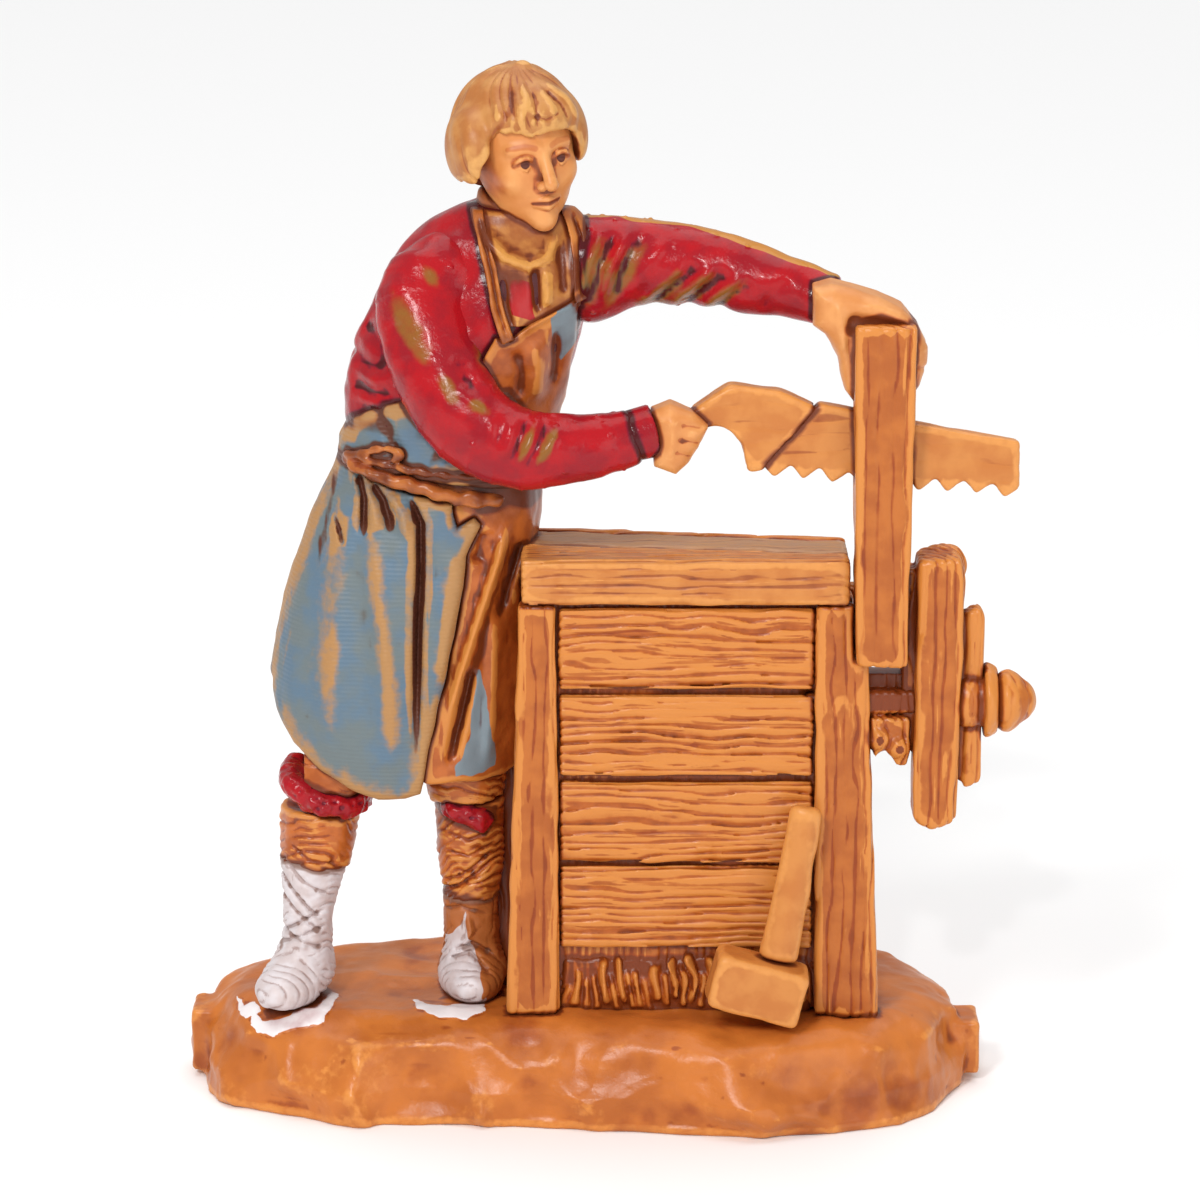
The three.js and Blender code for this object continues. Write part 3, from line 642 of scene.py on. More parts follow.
def rock(points):
    edge = outline_distance(points[:, 0], points[:, 1], ROCK_EDGE)
    z = points[:, 2]
    edge = edge + 0.1 * np.clip(1.2 - z, 0, 2) ** 2 - 0.35
    slope = np.maximum(edge + 0.42 * z - 1.0, edge)
    solid = layer(slope, z - GROUND_TOP, 2.2)
    on_side = smoothstep(6.4, 5.0, z)
    dishes, ridges = facets(points)
    solid += on_side * (0.56 - 2.2 * dishes + 0.12 * ridges) + (1 - on_side) * (0.2 - 0.55 * dishes)
    solid += 0.14 * noise(points, 2.2, 23) + 0.06 * noise(points, 0.8, 24)
    lip = layer(edge + 0.2 + 0.15 * noise(points, 3.0, 25), z - 0.55, 0.25)
    solid = join(solid, lip, 0.4)
    for low, high in STUBS.values():
        stub = block(points, low, high, 0.3) + 0.08 * noise(points, 0.8, 7)
        solid = join(solid, stub, 0.5)
    return keep(solid - 0.14 * on_spill(points), -z, 0.25)


def seen_within(points, outlines, soft):
    """1 on the front of the foot inside any of the outlines, with a ragged edge."""
    height = points[:, 2] + SIGHT * points[:, 1]
    x = points[:, 0] + 0.15 * noise(points, 0.9, 31)
    ragged = 0.13 * noise(points, 0.55, 32)
    inside = [smoothstep(soft, -soft, outline_distance(x, height, outline) + ragged) for outline in outlines]
    in_front = smoothstep(0.0, -2.0, points[:, 1])
    return np.maximum.reduce(inside) * smoothstep(2.8, 3.4, points[:, 2]) * in_front


def on_spill(points):
    return seen_within(points, SPILLS, 0.1)


def ground_wash_and_shade(points):
    dishes, _ = facets(points)
    brushed = smoothstep(0.0, 0.7, noise(points, (3.0, 0.7, 2.0), 26)) * smoothstep(5.6, 6.2, points[:, 2])
    some = 0.4 + 0.6 * smoothstep(-0.2, 0.4, noise(points, 5.0, 29))
    pooled = 0.46 * some * smoothstep(0.34, 0.1, dishes) + 0.2 * noise(points, 1.6, 27)
    # wash in the dishes, brushed streaks on the top, and painted shade under the toes
    return np.maximum.reduce([pooled, 0.3 * brushed, 1.2 * seen_within(points, TOE_SHADE, 0.25)])


def ground_crest(points):
    dishes, _ = facets(points)
    rubbed_edge = 0.55 * smoothstep(0.16, 0.34, dishes) * smoothstep(6.6, 5.6, points[:, 2])
    return np.maximum(rubbed_edge + 0.3 * noise(points, 1.6, 28), smoothstep(0.9, 0.5, points[:, 2]))


sculpt("ground_foot", rock, "rock_paint", COARSE, 1.0, {
    "tint": on_spill, "wash": ground_wash_and_shade, "crest": ground_crest,
})


# ---- Carved wood ---------------------------------------------------------------------------------

X, Y, Z = 0, 1, 2


def of_line(line, seed):
    """A repeatable number from 0 to 1 for each groove, curl or crease of a row of them."""
    return random_of(np.stack([line, 0 * line, 0 * line], 1), seed)


def grain(points, along, seed, pitch=0.6, width=0.12):
    """Carved grain running along one axis: wandering grooves about `pitch` mm apart, 1 at the bottom of
    a groove and 0 between grooves. The sheets of grain lie askew, so that they show on every side."""
    a, b = (axis for axis in (X, Y, Z) if axis != along)
    stretch = np.ones(3, np.float32)
    stretch[along] = 5.0
    wander = 0.9 * noise(points, 2.2 * stretch, seed) + 0.35 * noise(points, 0.5 * stretch, seed + 1)
    place = (points[:, a] + 0.83 * points[:, b]) / pitch + wander
    line = np.floor(place).astype(np.int32)
    gap = (place - line - 0.5) * pitch
    own = of_line(line, seed + 2)
    broken = noise(points, 0.45 * stretch, seed + 3)
    strength = np.clip(0.45 + 0.6 * own + 0.4 * broken, 0, 1.2)
    return strength * np.exp(-((gap / (width * (0.7 + 0.4 * strength))) ** 2))


def wooden(name, along, seed, depth=0.16, pitch=0.6, paint="timber_paint",
           soften=2, voxel=FINE, stain=0.5, width=0.12, grow=0.0, added=None):
    """A wooden piece: the CAD node's shape with softened edges, carved grain and any added lumps."""
    body = cad(name, soften)

    def shape(points):
        solid = body(points) - grow
        if added:
            solid = join(solid, added(points), 0.3)
        cut = grain(points, along, seed, pitch, width)
        return solid + depth * cut - 0.3 * depth + 0.07 * noise(points, 1.8, seed + 30)

    def wash(points):
        # Points of a DARK lump that stand out of the CAD shape are painted dark all over, as painted shade.
        flank = 0.95 * (body(points) > 0.45) if added in DARK else 0
        return np.maximum(stain * grain(points, along, seed, pitch, 1.2 * width), flank)

    sculpt(name, shape, paint, voxel, 0.5 if not added else 2.4, {"wash": wash})


def chop_back(points):
    """The flank of the chop behind the board, and the round boss behind its top. Where they stand out of
    the chop they are painted dark all over, as painted shade.
    """
    flank = block(points, (20.5, -6.6, 25.4), (22.6, -4.0, 38.0), 0.3)
    return np.minimum(flank, egg(points, (23.2, -4.8, 38.0), (1.7, 1.3, 1.4)))


def bracket_back(points):
    """The block under the board that carries the screw. Where it stands out of the bracket it is painted
    dark all over, as painted shade behind the screw.
    """
    body = block(points, (17.4, -6.0, 25.4), (21.4, -4.2, 31.8), 0.3)
    rail = block(points, (17.4, -7.0, 28.1), (21.6, -5.4, 29.7), 0.4)
    lumps = np.minimum(ball(points, (19.0, -6.9, 26.4), 0.8), ball(points, (20.3, -6.9, 25.8), 0.8))
    return np.minimum(np.minimum(body, rail), lumps)


def bar_root(points):
    return block(points, (24.2, -6.9, 23.4), (25.6, -5.0, 35.0), 0.3)


def hub(points):
    return rod(points, (25.2, -6.2, 28.9), (26.9, -6.2, 28.9), 1.9, 1.5)


def knob_neck(points):
    return rod(points, (26.6, -6.2, 28.9), (28.0, -6.2, 28.9), 0.9, 1.6)


def web(points):
    """The flank of the bench, which closes the gap to the leg and the skirt, painted dark all over as the
    shade in that gap.
    """
    return block(points, (-7.3, -0.6, 6.2), (-4.8, 1.4, 34.0), 0.3)


DARK = (web, chop_back, bracket_back)  # lumps whose points outside the CAD shape are painted dark all over, as painted shade

wooden("bench_core", Z, 40, voxel=COARSE)
wooden("bench_rail_front", X, 41, 0.15, 0.5, "tool_paint", stain=0.46, width=0.11)
wooden("bench_top_plank", X, 42, 0.08, 0.9, "top_paint", stain=0.3)
wooden("bench_rail_back", X, 43, 0.15, 0.62)
for number, side in enumerate(("left", "right")):
    wooden(f"bench_post_front_{side}", Z, 50 + number, 0.13, 0.75, stain=0.4)
    wooden(f"bench_post_back_{side}", Z, 60 + number, 0.15, 0.62)
    wooden(f"side_panel_{side}", Z, 70 + number, 0.1, 0.8, soften=1, added=web if side == "left" else None)
for row in range(1, 5):
    wooden(f"front_slat_{row}", X, 80 + 7 * row, 0.22, 0.5, soften=1, width=0.125, grow=0.1, stain=0.62)
    wooden(f"back_slat_{row}", X, 120 + 7 * row, 0.13, 0.6, soften=1, voxel=COARSE)
wooden("board", Z, 160, 0.15, 0.85, width=0.14, stain=0.55)
wooden("vise_chop", Z, 167, 0.13, 0.8, soften=3, stain=0.42, added=chop_back)
wooden("vise_bar", Z, 174, 0.12, 0.6, added=bar_root)
wooden("vise_bracket", Z, 181, 0.12, 0.6, added=bracket_back)
wooden("vise_flange", Z, 188, 0.1, 0.8, grow=0.1, added=hub)
wooden("vise_knob", Z, 195, 0.1, 0.8, grow=0.15, added=knob_neck)
wooden("vise_screw", X, 202, 0.05, 0.6, soften=1)
wooden("saw_blade", X, 209, 0.06, 1.1, "tool_paint", 1, stain=0.15, grow=0.12)
wooden("saw_handle", X, 216, 0.05, 1.1, "tool_paint", 2, stain=0.1, grow=0.12)
wooden("mallet_handle", Z, 223, 0.03, 1.1, "tool_paint", 3, stain=0.04, grow=0.18)
wooden("mallet_head", X, 230, 0.03, 1.1, "tool_paint", 3, stain=0.04, grow=0.1)


CURL_PITCH = 0.62


def shavings(points):
    """Short upright curls heaped against the foot of the slats."""
    heap = block(points, (-2.6, -6.3, 6.0), (14.6, -5.4, 10.6), 0.5)
    lean = points[:, 0] + 0.35 * (points[:, 2] - 8) * noise(points, (2.5, 9, 9), 240)
    place = (lean + 0.4 * noise(points, 1.5, 241)) / CURL_PITCH
    line = np.floor(place).astype(np.int32)
    own = of_line(line, 242)
    gap = (place - line - 0.5) * CURL_PITCH
    reach = 0.25 + 0.55 * own
    top = 8.4 + 2.2 * own + 0.5 * noise(points, 1.5, 243)
    past_end = np.maximum(np.maximum(points[:, 2] - top, top - 1.5 - own - points[:, 2]), 0)
    curl = np.hypot(gap / 0.24, past_end / 0.3)
    return heap - reach * np.exp(-(curl**2)) - 0.15 * noise(points, 0.9, 244)


sculpt("wood_shavings", shavings, "timber_paint", FINE, 1.2, {
    "wash": lambda points: 0.55 * smoothstep(-6.9, -6.4, points[:, 1]),
})


# ---- Figure: hips and legs -----------------------------------------------------------------------

HEM, WAIST = 21.3, 44.4
SKIRT = Column([
    (-12.8, -1.0, HEM, 6.4, 5.6), (-13.8, -1.0, 23.4, 7.3, 6.3), (-14.3, -1.0, 26.4, 7.8, 6.6),
    (-14.0, -0.9, 31.0, 7.7, 6.5), (-12.6, -0.7, 36.6, 7.8, 6.1), (-11.5, -0.5, 41.0, 7.3, 5.7),
    (-10.8, -0.3, WAIST, 6.5, 5.1), (-10.6, -0.3, WAIST + 2, 6.4, 5.1),
])
# The side of the tunic that leans on the bench.
SKIRT_SIDE = Column([
    (-9.4, 0.0, 22.0, 3.7, 4.4), (-9.3, 0.3, 26.0, 4.1, 4.8), (-9.0, 0.4, 31.0, 4.0, 4.8),
    (-8.6, 0.4, 36.6, 3.7, 4.8), (-7.9, 0.2, 41.0, 3.6, 4.6), (-7.8, 0.2, WAIST, 3.6, 4.4),
])
RECESS = Column([(-12.6, -1.0, HEM - 3, 5.2, 4.6), (-12.9, -1.0, HEM + 2.0, 5.4, 4.7)])
RECESS_DEPTH = 1.2  # how far up the skirt is hollow, round the legs
APRON_THICK = 0.75
APRON_SPREAD = [
    (-27, 31), (-22.6, 29.4), (-22.1, 27.6), (-20.9, 25.6), (-18.9, 24.0), (-16.8, 22.7), (-15, 22.1),
    (-13.1, 22.2), (-12.1, 22.6), (-11.6, 25.7), (-10.7, 29.2), (-9.9, 33.2), (-9.1, 36.8), (-8.9, 39.0),
    (-7.9, 41.0), (-8.3, 41.5), (-9.4, 40.9), (-9.9, 42.6), (-12.0, 43.0), (-15.4, 43.8), (-17.0, 45.2),
    (-27, 46),
]
# Creases and folds of the skirts: a path of (x, z) points, its width and its height.
APRON_FOLDS = [
    ([(-16.3, 44.4), (-15.8, 42.6), (-15.9, 40.2)], 0.26, -0.75),
    ([(-15.4, 43.8), (-14.5, 42.6), (-13.9, 40.6)], 0.28, -0.8),
    ([(-12.9, 43.4), (-12.0, 41.2), (-12.0, 38.6), (-12.2, 34.0), (-12.4, 25.0)], 0.27, -1.2),
    ([(-17.9, 41.4), (-17.5, 40.4), (-17.3, 39.6)], 0.16, -0.4),
    ([(-17.6, 44.8), (-18.4, 41.0), (-19.2, 37.5)], 0.35, -0.2),
    ([(-15.9, 44.0), (-15.2, 42.2), (-14.9, 40.6)], 0.35, 0.3),
    ([(-14.2, 43.4), (-13.2, 42.0), (-12.9, 40.2)], 0.35, 0.35),
    ([(-15.3, 41.6), (-14.8, 36.0), (-14.2, 31.0), (-13.9, 24.0)], 0.75, 0.4),
    ([(-9.2, 40.4), (-10.1, 35.0), (-10.8, 30.0)], 0.7, 0.4),
    ([(-17.2, 43.6), (-17.8, 38.0), (-18.3, 30.0), (-18.0, 25.0)], 1.0, 0.32),
    ([(-16.2, 38.0), (-15.9, 31.0), (-15.7, 25.0)], 0.8, -0.12),
    ([(-20.0, 38.0), (-21.0, 31.0), (-20.6, 27.0)], 0.9, 0.2),
    ([(-10.9, 41.6), (-11.1, 38.0), (-11.3, 33.0)], 0.6, -0.12),
]
TUNIC_FOLDS = [
    ([(-6.0, 41.4), (-6.8, 38.4), (-7.9, 35.2), (-9.4, 30.6), (-10.4, 27.0)], 0.42, 0.75),
    ([(-5.2, 39.6), (-6.0, 37.0), (-7.0, 33.6)], 0.35, -0.5),
    ([(-8.6, 31.3), (-9.3, 28.0), (-10.3, 24.1)], 0.34, -0.9),
    ([(-7.0, 36.0), (-7.2, 29.0), (-7.6, 23.4)], 0.55, 0.45),
    ([(-9.5, 36.4), (-10.2, 33.0), (-11.0, 29.0)], 0.35, -0.45),
    ([(-7.8, 40.6), (-8.4, 38.2)], 0.5, -0.4),
]


def skirt_cloth(points, grow, folds):
    wander = 0.1 * noise(points, (1.5, 1.5, 7.0), 81) + 0.06 * noise(points, 0.9, 84)
    behind = smoothstep(-1.0, 2.5, points[:, 1])
    pleats = 0.26 * np.sin(9 * SKIRT.angle(points) + 1.5 * noise(points, (4, 4, 12), 82))
    outer = join(SKIRT.distance(points, grow), SKIRT_SIDE.distance(points, min(grow, 0.0)), 0.9)
    outer = outer - strokes(points, folds) - wander - behind * pleats
    above = 40 * np.maximum(points[:, 2] - HEM - RECESS_DEPTH, 0)
    return keep(outer, -RECESS.distance(points, caps=False) - above, 0.3)


def apron_spread(points):
    wavy = points[:, 0] + 0.18 * noise(points, 1.6, 85)
    return outline_distance(wavy, points[:, 2], APRON_SPREAD)


TUNIC_HEM = [
    (-23.0, 30.0), (-20.9, 27.6), (-18.9, 25.6), (-16.8, 24.2), (-15.0, 23.6), (-12.6, 23.4),
    (-11.6, 23.0), (-6.0, 22.8),
]


def tunic_skirt(points):
    covered = smoothstep(0.2, -0.5, apron_spread(points)) * smoothstep(1.5, 0.5, points[:, 1])
    cloth = skirt_cloth(points, 0.0, TUNIC_FOLDS) + 0.9 * covered
    hem = np.interp(points[:, 0], *np.array(TUNIC_HEM).T) + 0.25 * noise(points, 1.6, 87)
    front = smoothstep(3.0, -1.0, points[:, 1])
    return keep(cloth, (hem - points[:, 2]) * front - 3 * (1 - front), 0.4)


def apron_skirt(points):
    region = np.maximum(apron_spread(points), points[:, 1] - 1.6)
    cloth = skirt_cloth(points, APRON_THICK, APRON_FOLDS)
    return keep(keep(cloth, region, 0.5), -SKIRT.distance(points, -1.9), 0.1)


def blue_worn(points):
    inside = -apron_spread(points)
    hem = smoothstep(2.2, 0.5, inside) * smoothstep(31.0, 27.0, points[:, 2])
    edge = smoothstep(0.9, 0.3, inside) * smoothstep(-13.0, -12.0, points[:, 0])
    crests = np.clip(strokes(points, [f for f in APRON_FOLDS if f[2] > 0.31 and f[1] > 0.5]) / 0.3, 0, 1)
    left = smoothstep(-0.95, -1.3, SKIRT.angle(points))
    faint = smoothstep(0.35, 0.9, noise(points, (0.9, 0.9, 8.0), 88))
    drift = 0.22 * noise(points, (0.9, 0.9, 2.5), 86)
    return np.maximum.reduce([0.5 * hem, 0.4 * edge, 0.5 * crests, 0.55 * left, 0.3 * faint]) + drift


def creases(folds, strength=1.0):
    return lambda points: strength * smoothstep(0.15, 0.5, -strokes(points, [f for f in folds if f[2] < 0]))


BLUE_PATCH = [(-8.2, 30.6), (-8.9, 26.4), (-9.9, 23.4), (-7.1, 23.6), (-7.5, 27.6)]


def tunic_tint(points):
    patch_edge = outline_distance(points[:, 0], points[:, 2], BLUE_PATCH) + 0.3 * noise(points, 0.9, 93)
    return smoothstep(0.2, -0.2, patch_edge) * smoothstep(1.0, -1.0, points[:, 1])


def tunic_creases_and_shade(points):
    """The creases, and the deep shade under the forearm."""
    shade = smoothstep(41.2, 42.4, points[:, 2] + 0.4 * noise(points, 1.5, 89))
    shade = shade * smoothstep(-9.0, -7.8, points[:, 0]) * smoothstep(0.5, -1.5, points[:, 1])
    return np.maximum(creases(TUNIC_FOLDS, 0.5)(points), 1.3 * shade)


sculpt("tunic_skirt", tunic_skirt, "brown_paint", marks={
    "wash": tunic_creases_and_shade, "tint": tunic_tint,
})
sculpt("apron_skirt", apron_skirt, "blue_paint", marks={
    "wash": creases(APRON_FOLDS), "worn": blue_worn,
})

# Breeches, garter, stocking and shoe of each leg. `right` is the figure's own right.
LEGS = {
    "right": {
        "breeches": [(-19.3, -2.8, 20.0, 2.7, 2.9), (-19.0, -2.6, 22.6, 3.1, 3.1),
                     (-17.8, -2.0, 26.6, 3.0, 2.9)],
        "garter": [(-21.2, 22.6), (-19.9, 21.8), (-18.4, 21.2), (-17.0, 20.9), (-15.6, 20.9)],
        "stocking": [(-19.7, -2.9, 16.4, 2.35, 2.5), (-19.2, -2.8, 20.4, 2.65, 2.7)],
        "shin": [(-20.5, -2.2, 8.4, 2.0, 2.4), (-20.2, -2.6, 12.6, 1.75, 2.1), (-19.7, -2.9, 17.0, 2.4, 2.5)],
        "foot": (-21.3, -3.9, 7.9), "turn": -20,
    },
    "left": {
        "breeches": [(-9.2, -1.4, 20.6, 2.5, 2.7), (-9.3, -1.3, 22.6, 2.8, 2.9),
                     (-9.8, -1.1, 26.0, 2.4, 2.6)],
        "garter": [(-10.2, 20.4), (-9.2, 20.1), (-8.0, 19.6)],
        "stocking": [(-8.9, -1.3, 13.6, 2.0, 2.2), (-9.0, -1.4, 20.8, 2.4, 2.5)],
        "shin": [(-8.9, -0.8, 8.0, 2.1, 2.3), (-8.9, -1.0, 11.0, 1.95, 2.1), (-9.0, -1.3, 14.4, 1.95, 2.1)],
        "foot": (-8.9, -1.9, 7.7), "turn": 4,
    },
}
FOOT_RADII = (2.2, 3.9, 1.7)
WRINKLE_PITCH = 0.62
ROLL_RADIUS = 0.85
LACES = [
    ([(-22.4, 16.4), (-20.6, 14.2), (-19.0, 12.4)], 0.14, -0.32),
    ([(-22.0, 17.4), (-20.4, 15.6), (-18.2, 14.2)], 0.13, -0.25),
    ([(-22.4, 14.8), (-20.6, 13.0), (-18.9, 11.4)], 0.13, -0.28),
    ([(-22.6, 11.0), (-20.8, 12.4), (-18.7, 13.6)], 0.14, -0.3),
    ([(-22.8, 12.2), (-20.8, 11.2), (-18.9, 10.4)], 0.14, -0.3),
    ([(-23.0, 10.0), (-20.9, 11.4), (-18.8, 12.2)], 0.13, -0.28),
    ([(-21.4, 18.4), (-19.8, 17.2), (-17.6, 16.8)], 0.14, -0.2),
    ([(-20.9, 12.2), (-20.5, 11.4), (-20.4, 10.4)], 0.3, 0.25),
]
WRAPS = [
    ([(-11.2, 14.0), (-9.6, 14.8), (-7.0, 16.8)], 0.16, -0.4),
    ([(-11.0, 14.9), (-9.4, 15.6), (-7.2, 17.4)], 0.14, -0.3),
    ([(-10.8, 17.4), (-9.0, 17.0), (-7.0, 18.0)], 0.14, -0.22),
    ([(-11.0, 12.6), (-9.6, 13.2), (-7.4, 12.4)], 0.14, -0.25),
    ([(-10.2, 9.8), (-8.8, 10.5), (-7.0, 9.2)], 0.15, -0.35),
    ([(-9.2, 12.8), (-8.9, 11.4), (-9.4, 10.2)], 0.2, 0.3),
    ([(-10.6, 9.2), (-9.0, 9.9), (-7.4, 8.4)], 0.13, -0.25),
    ([(-11.0, 18.8), (-9.0, 18.2), (-7.0, 19.0)], 0.14, -0.2),
]


def turned(points, centre, degrees):
    """The points in the axes of a piece that sits at centre and is turned about Z, X and Y."""
    spin = Euler([math.radians(a) for a in degrees], "YXZ").to_matrix()
    return (points - np.array(centre, np.float32)) @ np.array(spin, np.float32)


def wrinkles(points, tilt, seed, pitch=WRINKLE_PITCH):
    """Slanting wrinkles: 1 in the creases, 0 between them."""
    climb = points[:, 2] + tilt * points[:, 0] + 0.5 * points[:, 1]
    place = climb / pitch + 0.9 * noise(points, 2.0, seed) + 0.3 * noise(points, 0.7, seed + 1)
    line = np.floor(place).astype(np.int32)
    own = of_line(line, seed + 2)
    strength = np.clip(0.2 + 0.8 * own + 0.5 * noise(points, 1.2, seed + 3), 0, 1.2)
    return strength * np.exp(-((((place - line - 0.5) * pitch) / (0.22 * pitch)) ** 2))


def wrapped(limb, tilt, seed, depth=0.2, folds=()):
    """A leg covering with slanting wrinkles."""
    def shape(points):
        creased = depth * wrinkles(points, tilt, seed) + 0.12 * noise(points, 1.3, seed + 8)
        return limb.distance(points, 0.1, 0.35) + creased - strokes(points, folds)
    return shape


def cuff(limb, path, tilt, seed):
    """The end of a breeches leg, cut off slantwise above the roll."""
    creased = wrapped(limb, tilt, seed)

    def shape(points):
        edge = np.interp(points[:, 0], *np.array(path).T) - 0.5 - points[:, 2]
        return keep(creased(points), edge + 0.2 * noise(points, 1.1, seed + 5), 0.3)
    return shape


def roll(limb, path, seed):
    """A lumpy roll of red cloth lying slantwise round the front of a leg."""
    def shape(points):
        gap, _ = from_path(points[:, 0], points[:, 2] + 0.2 * noise(points, 0.9, seed), path)
        bulge = 0.7 * np.sqrt(np.clip(1 - (gap / ROLL_RADIUS) ** 2, 0, 1))
        lumps = 0.17 * noise(points, 0.4, seed + 1)
        shell = limb.distance(points, 0.0, 0.3) - bulge + lumps * (gap < 1.1)
        return keep(shell, gap - ROLL_RADIUS + 0.2 * noise(points, 0.6, seed + 2), 0.25)
    return shape


def shoe(leg, tilt, seed, folds):
    shin = Limb(leg["shin"])

    def shape(points):
        local = turned(points, leg["foot"], (0, 0, leg["turn"]))
        foot = egg(local, (0, 0, 0), FOOT_RADII)
        foot = keep(foot, -local[:, 2] - 1.3, 0.4)
        body = join(shin.distance(points, 0.0, 0.4), foot, 1.6)
        toe = smoothstep(0.2, -0.8, local[:, 1])
        bow = local[:, 1] - 0.16 * local[:, 0] ** 2 + 0.25 * local[:, 0] + 0.35 * noise(points, 1.5, seed)
        arcs = 0.1 * (1 - np.abs(np.sin(math.pi * bow / WRINKLE_PITCH))) ** 2
        arcs = arcs * (1 + noise(points, 0.9, seed + 5))
        leg_part = 0.14 * wrinkles(points, tilt, seed + 2, 0.5)
        cut = toe * arcs + (1 - toe) * leg_part - strokes(points, folds)
        return body + cut + 0.08 * noise(points, 0.8, seed + 1)
    return shape


def shoe_tint(side):
    """Where the brown plastic of a shoe shows: most of the left one, little of the right one."""
    def mark(points):
        x, z = points[:, 0], points[:, 2]
        if side == "right":
            rear = smoothstep(-1.6, -0.6, points[:, 1]) * smoothstep(-19.0, -18.2, x)
            return np.maximum(rear, smoothstep(16.4, 16.9, z + 0.2 * (x + 19) + 0.4 * noise(points, 1.0, 92)))
        splash = outline_distance(x, z, [
            (-9.2, 13.0), (-9.7, 11.8), (-10.4, 11.0), (-11.6, 9.8), (-11.8, 6.2), (-7.9, 6.0), (-8.0, 7.6),
            (-8.2, 9.0), (-8.9, 10.2), (-9.1, 11.0),
        ])
        dab = outline_distance(x, z, [(-10.4, 14.9), (-9.2, 15.8), (-9.0, 16.6), (-10.6, 15.6)])
        bare = smoothstep(-0.15, 0.15, np.minimum(splash, dab) + 0.25 * noise(points, 0.8, 91))
        return np.maximum(bare, smoothstep(-2.0, -1.2, points[:, 1]))
    return mark


for number, (side, leg) in enumerate(LEGS.items()):
    stocking = Limb(leg["stocking"])
    tilt = {"right": 0.15, "left": -0.45}[side]
    folds = {"right": LACES, "left": WRAPS}[side]
    brown = {"wash": lambda points, tilt=tilt, number=number: 0.4 * wrinkles(points, tilt, 108 + number)}
    breeches = Limb(leg["breeches"])
    under = breeches if side == "right" else stocking
    sculpt(f"breeches_{side}", cuff(breeches, leg["garter"], 0.2, 100 + number), "brown_paint")
    sculpt(f"garter_{side}", roll(under, leg["garter"], 104 + number), "red_paint", FINEST, 2.5)
    sculpt(f"stocking_{side}", wrapped(stocking, tilt, 108 + number, 0.16, folds), "brown_paint",
           marks=brown)
    sculpt(f"shoe_{side}", shoe(leg, tilt - 0.35, 112 + number, folds), "white_paint", marks={
        "tint": shoe_tint(side), "wash": creases(folds, 0.6),
    })


# ---- Figure: trunk -------------------------------------------------------------------------------

TORSO = Column([
    (-10.4, -0.3, WAIST + 0.2, 6.4, 5.2), (-9.9, -0.4, 49.0, 7.3, 5.9), (-8.9, -0.7, 53.0, 7.5, 5.9),
    (-7.6, -0.9, 56.4, 7.2, 5.3), (-6.9, -1.0, 59.0, 6.5, 4.5), (-6.4, -1.1, 61.0, 4.9, 3.4),
    (-5.8, -1.2, 62.4, 3.0, 2.8),
])
TORSO_FOLDS = [
    ([(-16.8, 50.4), (-15.4, 49.8), (-13.6, 50.0)], 0.6, -0.3),
    ([(-16.9, 52.4), (-15.4, 51.6), (-14.0, 51.8)], 0.55, -0.25),
    ([(-16.4, 48.8), (-14.8, 48.5), (-13.0, 48.9)], 0.6, -0.25),
    ([(-15.8, 54.4), (-14.8, 53.2), (-13.8, 51.4)], 0.5, -0.3),
    ([(-16.6, 49.6), (-15.0, 49.1), (-13.4, 49.5)], 0.4, 0.2),
    ([(-16.6, 51.3), (-15.0, 50.7), (-13.8, 50.9)], 0.4, 0.2),
]
CHEST = [(-8.6, 62.2), (-7.6, 58.0), (-6.9, 55.6), (-6.2, 53.6), (-1.2, 55.6), (-0.4, 58.0), (-0.6, 61.8)]
CHEST_FOLDS = [
    ([(-8.3, 61.8), (-7.3, 60.3), (-6.2, 59.3), (-4.6, 58.6), (-3.4, 59.2), (-2.4, 61.4)], 0.4, 0.55),
    ([(-4.4, 58.8), (-4.2, 57.0), (-4.1, 55.4)], 0.28, -0.5),
    ([(-3.6, 58.8), (-3.4, 57.0), (-3.5, 55.8)], 0.3, 0.3),
    ([(-2.7, 60.0), (-2.5, 58.0), (-2.4, 56.4)], 0.3, -0.35),
    ([(-1.7, 60.8), (-1.6, 58.4), (-1.6, 56.4)], 0.3, 0.3),
    ([(-6.5, 58.4), (-6.2, 56.0), (-5.7, 54.4)], 0.25, -0.3),
]
RED_PATCH = [(-6.3, 57.7), (-4.5, 57.6), (-4.2, 54.9), (-5.8, 55.5)]
BIB = [(-11.5, 44.6), (-1.6, 44.6), (-2.2, 49.5), (-1.7, 52.7), (-1.3, 56.4), (-2.1, 55.9), (-4.5, 54.8),
       (-6.0, 53.8), (-7.0, 54.0), (-9.0, 50.0)]
BIB_FOLDS = [
    ([(-6.2, 54.0), (-4.6, 54.9), (-2.2, 55.9)], 0.3, 0.35),
    ([(-5.6, 53.2), (-5.2, 51.4), (-5.4, 49.6)], 0.4, -0.3),
    ([(-4.4, 53.8), (-4.0, 51.6), (-4.2, 49.4)], 0.5, 0.3),
    ([(-2.9, 54.6), (-2.9, 52.4), (-3.2, 50.0)], 0.35, -0.4),
]
BLUE_ON_BIB = [(-3.2, 55.2), (-1.2, 56.4), (-1.4, 53.6), (-2.6, 51.8), (-3.1, 53.2)]
STRAPS = {
    "right": [(-8.5, 62.2), (-7.5, 58.2), (-7.1, 56.0), (-6.4, 53.6), (-5.6, 53.9), (-6.4, 56.2),
              (-6.8, 58.6), (-7.7, 62.2)],
    "left": [(-2.6, 62.1), (-1.9, 60.2), (-1.8, 58.2), (-1.6, 55.9), (-0.5, 56.2), (-0.6, 58.4),
             (-0.7, 60.4), (-1.3, 62.0)],
}
